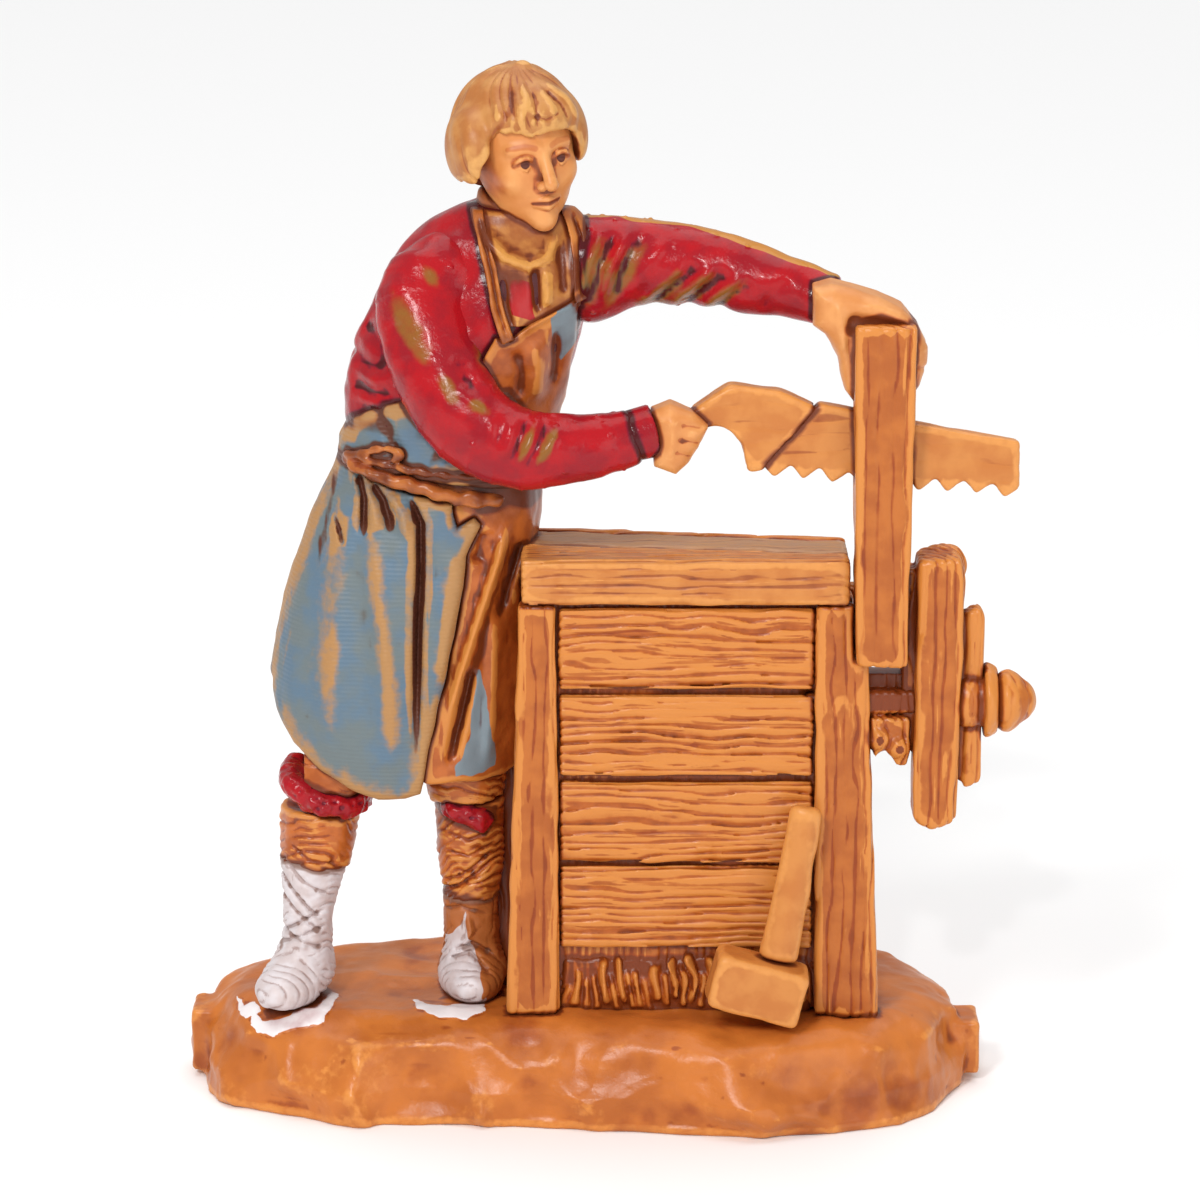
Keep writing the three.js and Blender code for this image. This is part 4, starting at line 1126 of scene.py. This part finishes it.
# The apron above its strings, as an outline of (x, z) points, and the strings as paths and radii.
APRON_TOP = [(-20, 44.8), (-17.6, 46.4), (-16.6, 47.9), (-14.4, 49.2), (-11.9, 49.8), (-6, 50.4),
             (-3, 46), (-3, 43.0), (-8.0, 43.6), (-12.7, 44.3)]
STRINGS = [
    ([(-16.9, 45.3), (-15.8, 45.3), (-12.7, 44.9), (-7.7, 44.3), (-4.1, 43.6)], 0.25),
    ([(-16.6, 44.9), (-15.3, 44.4), (-12.6, 43.9), (-9.6, 43.1), (-6.8, 42.7)], 0.47),
    ([(-16.8, 45.3), (-15.2, 46.0), (-13.4, 46.2), (-13.8, 45.5), (-15.8, 45.0)], 0.24),
]


def cloth_noise(points, seed, depth):
    return depth * noise(points, 2.4, seed) + 0.5 * depth * noise(points, 1.1, seed + 1)


def torso(points):
    return TORSO.distance(points) + cloth_noise(points, 120, 0.25) - strokes(points, TORSO_FOLDS)


def on_chest(outline, grow, seed, folds=(), soft=0.3):
    """A layer of cloth on the front of the trunk, inside an outline seen from the front."""
    def shape(points):
        wavy = points[:, 0] + 0.12 * noise(points, 1.2, seed + 4)
        region = np.maximum(outline_distance(wavy, points[:, 2], outline), points[:, 1] + 1.5)
        shell = TORSO.distance(points, grow) + cloth_noise(points, seed, 0.16) - strokes(points, folds)
        return keep(keep(shell, region, soft), -TORSO.distance(points, -1.6), 0.05)
    return shape


def patch(outline):
    """1 inside an outline seen from the front, with a ragged edge."""
    def mark(points):
        edge = outline_distance(points[:, 0], points[:, 2], outline) + 0.25 * noise(points, 0.9, 95)
        return smoothstep(0.12, -0.12, edge)
    return mark


def apron_above(points):
    """The apron between its strings and the trunk: it widens from the skirt and ends on the tunic."""
    region = np.maximum(outline_distance(points[:, 0], points[:, 2], APRON_TOP), points[:, 1] - 1.0)
    body = np.minimum(TORSO.distance(points, 0.55, caps=False), 9)
    swell = 0.5 * smoothstep(47.5, 44.5, points[:, 2])
    shell = body - swell + cloth_noise(points, 136, 0.25)
    shell = shell + 0.3 * smoothstep(0.8, 0, np.abs(points[:, 0] + 13.6 + 0.4 * (points[:, 2] - 46)))
    return keep(keep(shell, region, 0.4), -TORSO.distance(points, -1.4, caps=False), 0.1)


def top_band(points):
    """The ochre band along the top edge of the apron, and rubbed places below it."""
    inside = -outline_distance(points[:, 0], points[:, 2], APRON_TOP)
    band = smoothstep(1.3, 0.6, inside + 0.3 * noise(points, 1.2, 139)) * smoothstep(45.6, 46.4, points[:, 2])
    return np.maximum(0.75 * band, 0.15 + 0.5 * noise(points, 1.6, 137))


def under_arm(points):
    """The deep shade on the front of the apron, under the forearm."""
    shade = smoothstep(-9.6, -8.0, points[:, 0]) * smoothstep(46.0, 45.0, points[:, 2])
    return 1.2 * shade * smoothstep(0.5, -1.5, points[:, 1])


def strings(points):
    """The knot at the hip and the strings that run from it across the body."""
    knot = egg(points, (-16.7, -3.0, 45.0), (0.8, 0.8, 0.6))
    for path, radius in STRINGS:
        joints = []
        for x, z in curve(path, 9):
            share = min(abs(x + 10.4) / 7.6, 0.92)
            joints.append((x, -0.3 - 6.3 * math.sqrt(1 - share**2), z, radius))
        knot = join(knot, chain(points, joints, 0.1), 0.2)
    twist = 0.05 * np.sin(2 * math.pi * (points[:, 0] + 0.4 * points[:, 2]) / 1.3)
    return knot + twist + 0.16 * noise(points, (1.2, 1.2, 0.5), 138)


def strap_wash(groove):
    return lambda points: 0.45 + 0.6 * creases(groove)(points) + 0.2 * noise(points, 0.9, 133)


NECK = Limb([(-6.3, -0.9, 58.6, 2.7, 2.5), (-5.9, -1.5, 61.0, 2.6, 2.4), (-5.6, -2.0, 63.0, 2.5, 2.3)])

sculpt("neck", NECK.distance, "skin_paint", marks={
    # The whole neck is darkened evenly, as painted shade under the head.
    "wash": lambda points: np.full(len(points), 0.6, np.float32),
})
sculpt("tunic_torso", torso, "red_paint", marks={"wash": creases(TORSO_FOLDS, 0.5)})
sculpt("apron_bib", on_chest(BIB, 0.6, 130, BIB_FOLDS), "brown_paint", marks={
    "tint": patch(BLUE_ON_BIB),
    "wash": lambda points: 0.3 + 0.25 * noise(points, 1.4, 134) + creases(BIB_FOLDS, 0.5)(points),
})
for side, strap in STRAPS.items():
    there, back = np.array(strap[:4]), np.array(strap[:3:-1])
    groove = [((there + back) / 2, 0.16, -0.35)]
    strap_shape = on_chest(strap, 0.85, 132, groove, 0.2)
    sculpt(f"bib_strap_{side}", strap_shape, "brown_paint", FINEST, marks={
        "wash": strap_wash(groove),
    })
sculpt("shirt_collar", on_chest(CHEST, 0.35, 135, CHEST_FOLDS), "shirt_paint",
       reach=5.0, marks={"tint": patch(RED_PATCH), "wash": creases(CHEST_FOLDS, 0.6)})
sculpt("apron_waistband", apron_above, "blue_paint", reach=5.0, marks={
    "worn": top_band,
    "wash": under_arm,
})
sculpt("apron_knot", strings, "brown_paint", FINEST, reach=13.0, marks={
    "wash": lambda points: 0.6 + 0.3 * noise(points, 0.8, 140),
})


# ---- Figure: arms and hands ----------------------------------------------------------------------

SLEEVE_RIGHT = Limb([
    (-11.6, -3.0, 58.4, 2.2, 2.3), (-11.9, -4.4, 55.6, 3.1, 2.9), (-10.6, -6.2, 51.2, 3.1, 2.8),
    (-8.3, -7.7, 48.3, 3.0, 2.6), (-5.3, -8.5, 46.9, 2.7, 2.3), (-2.4, -8.7, 46.9, 2.4, 2.1),
    (0.4, -8.4, 47.2, 2.05, 1.95), (2.4, -8.1, 47.7, 1.8, 1.8),
])
SLEEVE_LEFT = Limb([
    (-2.6, -1.0, 58.1, 3.2, 2.9), (1.0, -1.2, 58.3, 3.0, 2.7), (6.7, -1.7, 57.9, 2.7, 2.4),
    (11.2, -2.6, 57.0, 2.2, 2.0), (15.8, -3.8, 56.0, 1.7, 1.7),
])
CUFF = Limb([(1.9, -8.1, 47.6, 1.72, 1.72), (3.7, -7.8, 48.0, 1.8, 1.75)])
SLEEVE_LEFT_FOLDS = [
    ([(6.8, 58.6), (5.0, 57.2), (3.0, 55.2)], 0.6, -0.5),
    ([(8.7, 58.2), (7.2, 56.9), (5.4, 55.2)], 0.6, -0.5),
    ([(10.4, 57.4), (9.0, 56.4), (7.6, 55.0)], 0.55, -0.4),
    ([(5.9, 58.4), (4.2, 57.0), (2.4, 55.4)], 0.35, 0.35),
    ([(7.8, 58.4), (6.2, 57.0), (4.4, 55.2)], 0.35, 0.4),
    ([(9.6, 57.8), (8.2, 56.6), (6.6, 55.1)], 0.35, 0.35),
    ([(3.0, 60.6), (1.6, 58.4), (0.8, 55.6)], 0.6, -0.45),
    ([(1.2, 60.6), (0.0, 58.4), (-0.6, 55.6)], 0.5, -0.45),
    ([(12.8, 57.6), (11.6, 56.6), (10.8, 55.2)], 0.4, -0.2),
    ([(4.6, 60.2), (3.2, 58.4), (1.8, 55.8)], 0.4, 0.25),
    ([(2.2, 60.8), (0.9, 58.4), (0.1, 55.8)], 0.4, 0.35),
    ([(0.3, 60.8), (-0.8, 58.4), (-1.2, 55.8)], 0.35, 0.3),
]
SLEEVE_RIGHT_FOLDS = [
    ([(-5.6, 49.4), (-6.0, 48.0), (-6.4, 46.6)], 0.45, 0.4),
    ([(-4.0, 49.4), (-4.6, 47.8), (-5.4, 46.2)], 0.42, 0.42),
    ([(-2.6, 48.9), (-3.4, 47.4), (-4.6, 46.0)], 0.4, 0.38),
    ([(-4.8, 49.4), (-5.4, 47.8), (-6.0, 46.2)], 0.3, -0.12),
    ([(-3.4, 49.2), (-4.1, 47.6), (-5.0, 46.0)], 0.3, -0.12),
    ([(-9.6, 53.2), (-8.8, 52.0), (-8.4, 50.6)], 0.6, -0.22),
    ([(-9.4, 51.4), (-8.4, 50.4), (-7.2, 49.8)], 0.4, 0.3),
    ([(-8.9, 52.6), (-7.8, 51.4), (-6.8, 50.8)], 0.4, 0.28),
    ([(-13.6, 55.6), (-13.4, 53.8), (-12.4, 51.8)], 0.7, -0.2),
    ([(-7.0, 49.6), (-7.2, 48.2), (-7.4, 46.8)], 0.4, 0.25),
]
# Places where the red is rubbed thin: x, z, half width, half height and lean.
RUBBED = [
    (-12.4, 54.5, 1.0, 2.5, -0.5), (-7.3, 52.6, 1.1, 1.0, -0.6), (-8.0, 50.0, 0.9, 0.6, -0.4),
    (-10.0, 51.2, 0.7, 1.2, -0.5), (4.4, 56.6, 0.9, 1.6, 0.8), (6.4, 56.4, 0.9, 1.6, 0.9),
    (8.2, 56.0, 0.8, 1.4, 0.9), (1.6, 57.6, 0.8, 2.2, 0.5), (-0.4, 57.6, 1.0, 2.6, 0.3),
    (3.4, 55.6, 1.5, 0.6, 0.0), (-15.4, 52.6, 0.5, 0.8, 0.0), (-3.4, 47.6, 0.5, 1.3, 0.4),
    (-4.9, 47.6, 0.4, 1.3, 0.4), (-11.2, 58.0, 0.6, 0.9, -0.6),
]


def rubbed(points):
    total = np.zeros(len(points), np.float32)
    for x, z, wide, high, lean in RUBBED:
        u, v = points[:, 0] - x, points[:, 2] - z
        gap = np.hypot((u - lean * v) / wide, v / high)
        total = np.maximum(total, 0.8 * smoothstep(1.5, 0.3, gap + 0.25 * noise(points, 0.9, 147)))
    return total * smoothstep(-0.5, -2.0, points[:, 1])


def bare_line(points):
    """A bare line of plastic along the top of the raised sleeve."""
    line, size = SLEEVE_LEFT.line, SLEEVE_LEFT.size
    above = points[:, 2] - np.interp(points[:, 0], line[:, 0], line[:, 2])
    top = above / np.interp(points[:, 0], line[:, 0], size[:, 0])
    return smoothstep(0.94, 0.975, top + 0.04 * noise(points, 1.2, 148))


def pimples(points, size, seed):
    """Small drops of thick paint, about one in every `size` mm."""
    middle, _ = chips(points, size, seed)
    return 0.14 * smoothstep(0.05 / size**2, 0, middle)


def sleeve(limb, folds, seed, shoulder, radii):
    def shape(points):
        body = join(limb.distance(points), egg(points, shoulder, radii), 1.2)
        drops = pimples(points, 1.15, seed + 20) * smoothstep(6.0, 3.5, np.abs(points[:, 0] - 1.0))
        drops = np.maximum(drops, pimples(points, 1.9, seed + 21))
        return body - 0.65 * strokes(points, folds, 0.0) - drops + cloth_noise(points, seed, 0.14)
    return shape


sculpt("sleeve_right", sleeve(SLEEVE_RIGHT, SLEEVE_RIGHT_FOLDS, 140, (-10.2, -2.8, 57.2), (3.6, 2.9, 3.4)),
       "red_paint", marks={"worn": rubbed, "wash": creases(SLEEVE_RIGHT_FOLDS, 0.2)})
sculpt("cuff_right", CUFF.distance, "red_paint")
sculpt("sleeve_left", sleeve(SLEEVE_LEFT, SLEEVE_LEFT_FOLDS, 142, (-0.6, -1.6, 57.2), (2.8, 2.6, 3.2)),
       "red_paint", marks={
           "worn": rubbed, "tint": bare_line, "wash": creases(SLEEVE_LEFT_FOLDS, 0.25),
       })

FIST = [(3.4, 49.4), (4.7, 49.9), (6.2, 49.3), (7.3, 48.3), (6.6, 46.9), (6.0, 46.0), (5.1, 45.1),
        (3.6, 45.6)]
FINGER_LINES = [
    ([(5.2, 48.7), (6.2, 48.5), (7.0, 48.2)], 0.2, -0.12),
    ([(5.0, 47.7), (6.0, 47.5), (6.8, 47.2)], 0.2, -0.13),
    ([(4.8, 46.8), (5.6, 46.6), (6.2, 46.3)], 0.2, -0.12),
    ([(4.8, 49.4), (4.9, 47.8), (4.6, 46.0)], 0.4, 0.2),
]
GRIP = [
    (14.2, 57.4), (15.4, 57.7), (16.8, 57.4), (18.5, 56.9), (20.1, 56.1), (21.2, 54.9), (21.8, 53.5),
    (21.8, 52.2), (21.3, 50.9), (20.5, 49.9), (17.0, 49.6), (16.3, 50.6), (15.9, 52.6), (15.0, 54.4),
    (14.2, 55.0),
]
GRIP_LINES = [
    ([(17.0, 56.6), (18.7, 56.3), (20.3, 55.5), (21.2, 54.2)], 0.3, 0.15),
    ([(20.8, 52.4), (21.5, 52.2), (22.1, 51.9)], 0.2, -0.15),
    ([(15.8, 56.8), (15.9, 55.0), (16.4, 53.2)], 0.35, 0.2),
    ([(16.4, 54.6), (16.7, 52.8), (17.0, 51.0)], 0.25, -0.2),
]


def hand_right(points):
    slab = layer(outline_distance(points[:, 0], points[:, 2], FIST), np.abs(points[:, 1] + 7.6) - 1.7, 1.1)
    return slab - strokes(points, FINGER_LINES, -7.0) + 0.06 * noise(points, 1.2, 160)


def hand_left(points):
    slab = layer(outline_distance(points[:, 0], points[:, 2], GRIP), np.abs(points[:, 1] + 6.0) - 2.3, 1.3)
    slab = keep(slab, -rod(points, (17.0, -8.6, 55.3), (20.5, -8.6, 54.8), 0.75, 0.65), 0.25)
    return slab - strokes(points, GRIP_LINES, -6.5) + 0.08 * noise(points, 1.4, 162)


# A painted shadow on the left hand, in a thin band just above the top of the board.
def shadow_above_board(points):
    gap, _ = from_path(points[:, 0], points[:, 2], [(16.8, 54.9), (18.6, 55.4), (20.7, 54.7)])
    return smoothstep(0.8, 0.4, gap) * smoothstep(-5.6, -6.4, points[:, 1])


sculpt("hand_right", hand_right, "skin_paint", FINEST, marks={
    "wash": lambda points: 0.12 * smoothstep(-0.04, -0.1, strokes(points, FINGER_LINES)),
})
sculpt("hand_left", hand_left, "skin_paint", FINEST, marks={"wash": shadow_above_board})


# ---- Figure: head --------------------------------------------------------------------------------

HEAD_MIDDLE = (-5.2, -2.4, 65.9)
HEAD_TURN = (4, -7, 24)
HAIR_EDGE = [
    (-5.2, -9), (-4.9, -2.6), (-4.3, -1.2), (-3.7, 0.2), (-3.1, 1.3), (-2.4, 2.1), (-1.6, 2.0),
    (-0.6, 1.8), (0.5, 2.1), (1.7, 2.0), (2.5, 1.6), (2.9, 0.9), (3.2, -0.2), (3.3, -9),
]
# The parting on the side of the head, and the strands of the fringe.
PARTING = ([(-0.2, 5.4), (-1.3, 4.3), (-2.3, 3.1), (-3.0, 1.9), (-3.4, 1.0)], 0.26, -0.15)
FRINGE = [
    ([(-0.2, 5.2), (-1.0, 4.0), (-1.6, 2.4)], 0.3, 0.16),
    ([(0.2, 4.6), (-0.2, 3.6), (-0.4, 2.2)], 0.14, -0.14),
    ([(0.4, 5.0), (0.9, 3.8), (1.0, 2.4)], 0.25, 0.14),
    ([(0.9, 4.6), (1.7, 3.6), (2.1, 2.4)], 0.14, -0.16),
    ([(1.0, 5.2), (2.4, 3.8), (3.0, 2.0)], 0.25, 0.16),
    ([(-0.9, 3.4), (0.4, 2.9), (1.5, 3.2)], 0.12, -0.14),
]


def face_of(points):
    p = turned(points, HEAD_MIDDLE, HEAD_TURN)
    mirrored = p.copy()
    mirrored[:, 0] = np.abs(mirrored[:, 0])
    return p, mirrored


def head(points):
    p, mirrored = face_of(points)
    skull = egg(p, (0, 0.6, 1.2), (3.6, 4.3, 4.0))
    jaw = egg(p, (0, -0.8, -1.4), (2.85, 3.1, 3.7))
    body = join(skull, jaw, 1.2)
    body = join(body, ball(p, (0, -3.0, -4.1), 0.8), 0.9)
    body = join(body, ball(mirrored, (1.75, -2.6, -1.0), 0.9), 0.9)
    body = join(body, rod(mirrored, (0.4, -3.6, 1.0), (1.9, -3.05, 0.95), 0.4, 0.35), 0.5)
    body = keep(body, -ball(mirrored, (1.3, -4.3, 0.15), 0.7), 0.35)
    body = join(body, ball(mirrored, (1.3, -3.05, 0.08), 0.7), 0.1)
    upper = [(0.72, -3.62, 0.12, 0.14), (1.1, -3.84, 0.48, 0.16), (1.6, -3.76, 0.46, 0.16),
             (2.0, -3.4, 0.05, 0.12)]
    lower = [(0.72, -3.62, 0.08, 0.1), (1.25, -3.76, -0.34, 0.12), (1.95, -3.42, 0.0, 0.1)]
    body = join(body, chain(mirrored, upper, 0.05), 0.1)
    body = join(body, chain(mirrored, lower, 0.05), 0.12)
    body = join(body, rod(p, (0, -3.75, 0.8), (0, -4.8, -1.3), 0.32, 0.46), 0.4)
    body = join(body, ball(mirrored, (0.42, -4.2, -1.5), 0.34), 0.22)
    body = join(body, rod(mirrored, (0, -3.98, -2.5), (0.95, -3.5, -2.62), 0.22, 0.1), 0.18)
    body = join(body, rod(mirrored, (0, -3.9, -3.0), (0.75, -3.52, -2.9), 0.28, 0.12), 0.2)
    return keep(body, -rod(mirrored, (0, -4.3, -2.74), (1.0, -3.75, -2.72), 0.08, 0.05), 0.08)


def face_paint(points):
    """The dark of the eyes."""
    _, mirrored = face_of(points)
    iris = ball(mirrored, (1.3, -3.78, 0.1), 0.3)
    return smoothstep(0.1, -0.05, iris)


def face_lines_and_shade(points):
    p, mirrored = face_of(points)
    lids = chain(mirrored, [(0.7, -3.7, 0.1, 0.1), (1.3, -3.9, 0.3, 0.1), (2.0, -3.4, 0.05, 0.1)])
    mouth = rod(mirrored, (0, -4.1, -2.74), (0.95, -3.6, -2.72), 0.08, 0.05)
    brow = chain(mirrored, [(0.6, -4.0, 1.1, 0.16), (1.3, -3.85, 1.35, 0.2), (2.2, -3.1, 1.1, 0.12)])
    soft = np.maximum(0.7 * smoothstep(0.25, 0.0, lids), 0.9 * smoothstep(0.2, 0.0, mouth))
    # Painted shade on the side of the face next to the hair, from the temple down the cheek.
    temple_shade = smoothstep(-2.4, -3.2, p[:, 0] + 0.15 * p[:, 2]) * smoothstep(1.2, 0.2, p[:, 2])
    temple_shade = 0.6 * temple_shade * smoothstep(-3.6, -1.6, p[:, 2])
    return np.maximum.reduce([soft, 0.5 * smoothstep(0.16, 0.0, brow), temple_shade])


def hair(points):
    p, _ = face_of(points)
    cap = egg(p, (0.1, 0.9, 1.2), (4.3, 4.9, 4.5))
    cap = join(cap, egg(p, (-3.8, -0.5, 0.7), (1.45, 2.4, 2.7)), 1.2)
    cap = join(cap, egg(p, (3.3, -0.9, 0.9), (0.9, 1.8, 2.2)), 0.9)
    cap = join(cap, egg(p, (0.1, -2.4, 2.9), (2.9, 1.65, 1.5)), 0.9)
    wavy = p[:, 0] + 0.2 * noise(p, 0.8, 149)
    face = outline_distance(wavy, p[:, 2], HAIR_EDGE)
    beside = smoothstep(1.8, 0.8, p[:, 2]) * smoothstep(-0.5, -2.0, p[:, 0])
    cap = keep(cap, -np.maximum(face, p[:, 1] + 0.4 - 1.6 * beside), 0.25)
    right = smoothstep(0.5, 2.5, p[:, 0])
    taper = 0.7 * np.clip(-p[:, 0] - 3.0, 0, 2)
    lower = -p[:, 2] - 2.7 + taper + 1.5 * right * smoothstep(2.0, -1.0, p[:, 1])
    cap = keep(cap, lower + 0.25 * noise(p, 0.9, 150), 0.9)
    sweep = np.arctan2(p[:, 0] - 0.6, -(p[:, 1] - 1.0)) * 3.4 + 0.22 * p[:, 2] * (1 - right)
    flow = np.stack([sweep + 0.5 * noise(p, 3.0, 151), 0 * p[:, 0], p[:, 2]], 1)
    strands = 0.09 * lines(flow, (0.62, 1.0, 7.0), 152, 0.4) + 0.22 * noise(flow, (1.5, 1, 8.0), 153)
    strands = strands * smoothstep(0.2, 1.6, np.hypot(p[:, 0] - 0.6, p[:, 1] - 0.8))
    fringe = np.zeros(len(p), np.float32)
    for path, width, height in [PARTING] + FRINGE:
        fringe += stroke(p, path, width, height)
    bump = ball(p, (0.8, 0.4, 5.45), 0.45)
    return join(cap + strands - fringe * smoothstep(0.8, -0.6, p[:, 1]), bump, 0.6)


def hair_wash_and_shade(points):
    """The wash in the parting, painted shade in the deep hollow between the side hair and the cheek, and
    darker hair towards its lower ends.
    """
    p, _ = face_of(points)
    face = outline_distance(p[:, 0], p[:, 2], HAIR_EDGE)
    hollow = smoothstep(0.1, -0.15, face) * smoothstep(1.6, 0.9, p[:, 2]) * smoothstep(1.9, 1.4, p[:, 1])
    parting = 0.5 * smoothstep(0.05, 0.15, -stroke(p, *PARTING)) * smoothstep(0.5, -0.5, p[:, 1])
    return np.maximum.reduce([hollow, parting, 0.5 * smoothstep(-2.4, -3.4, p[:, 2])])


sculpt("head", head, "skin_paint", FINEST, marks={"tint": face_paint, "wash": face_lines_and_shade})
sculpt("hair", hair, "hair_paint", FINEST, marks={"wash": hair_wash_and_shade})

stain_pieces()


# ---- Stage, light and camera ---------------------------------------------------------------------


def light(name, place, target, size, watts):
    lamp = bpy.data.lights.new(name, "AREA")
    lamp.shape = "DISK"
    lamp.size = size
    lamp.energy = watts
    holder = bpy.data.objects.new(name, lamp)
    holder.location = place
    holder.rotation_euler = (Vector(target) - Vector(place)).to_track_quat("-Z", "Y").to_euler()
    bpy.context.scene.collection.objects.link(holder)


def floor():
    mesh = bpy.data.meshes.new("floor")
    mesh.from_pydata([(-3, -3, 0), (3, -3, 0), (3, 3, 0), (-3, 3, 0)], [], [(0, 1, 2, 3)])
    ground = bpy.data.objects.new("floor", mesh)
    bpy.context.scene.collection.objects.link(ground)
    pale = bpy.data.materials.new("pale_floor")
    pale.use_nodes = True
    pale.node_tree.nodes["Principled BSDF"].inputs["Base Color"].default_value = (0.94, 0.94, 0.94, 1)
    pale.node_tree.nodes["Principled BSDF"].inputs["Roughness"].default_value = 0.9
    mesh.materials.append(pale)


AIM = Vector((0.05, 0.0, 34.3)) * MM
DISTANCE = 330 * MM
ELEVATION = math.radians(14.5)
LENS = 143.9

floor()
light("key", (-0.16, -0.36, 0.34), AIM, 0.1, 1.05)
light("fill", (0.3, -0.4, 0.15), AIM, 0.3, 0.4)
light("spark", (-0.05, -0.5, 0.32), AIM, 0.02, 0.45)

sky = bpy.data.lights.new("sky", "SUN")
sky.energy = 1.45
sky.angle = math.radians(60)
sky_holder = bpy.data.objects.new("sky", sky)
sky_holder.rotation_euler = (math.radians(-12), 0, 0)
bpy.context.scene.collection.objects.link(sky_holder)

world = bpy.data.worlds.new("studio")
world.use_nodes = True
world.node_tree.nodes["Background"].inputs["Color"].default_value = (1, 1, 1, 1)
world.node_tree.nodes["Background"].inputs["Strength"].default_value = 0.5
bpy.context.scene.world = world
bpy.context.scene.view_settings.view_transform = "Standard"

camera = bpy.data.objects.new("camera", bpy.data.cameras.new("camera"))
camera.data.lens = LENS
camera.data.sensor_width = 36
camera.data.clip_start = 0.01
camera.location = AIM + DISTANCE * Vector((0, -math.cos(ELEVATION), math.sin(ELEVATION)))
camera.rotation_euler = (AIM - camera.location).to_track_quat("-Z", "Y").to_euler()
bpy.context.scene.collection.objects.link(camera)
bpy.context.scene.camera = camera
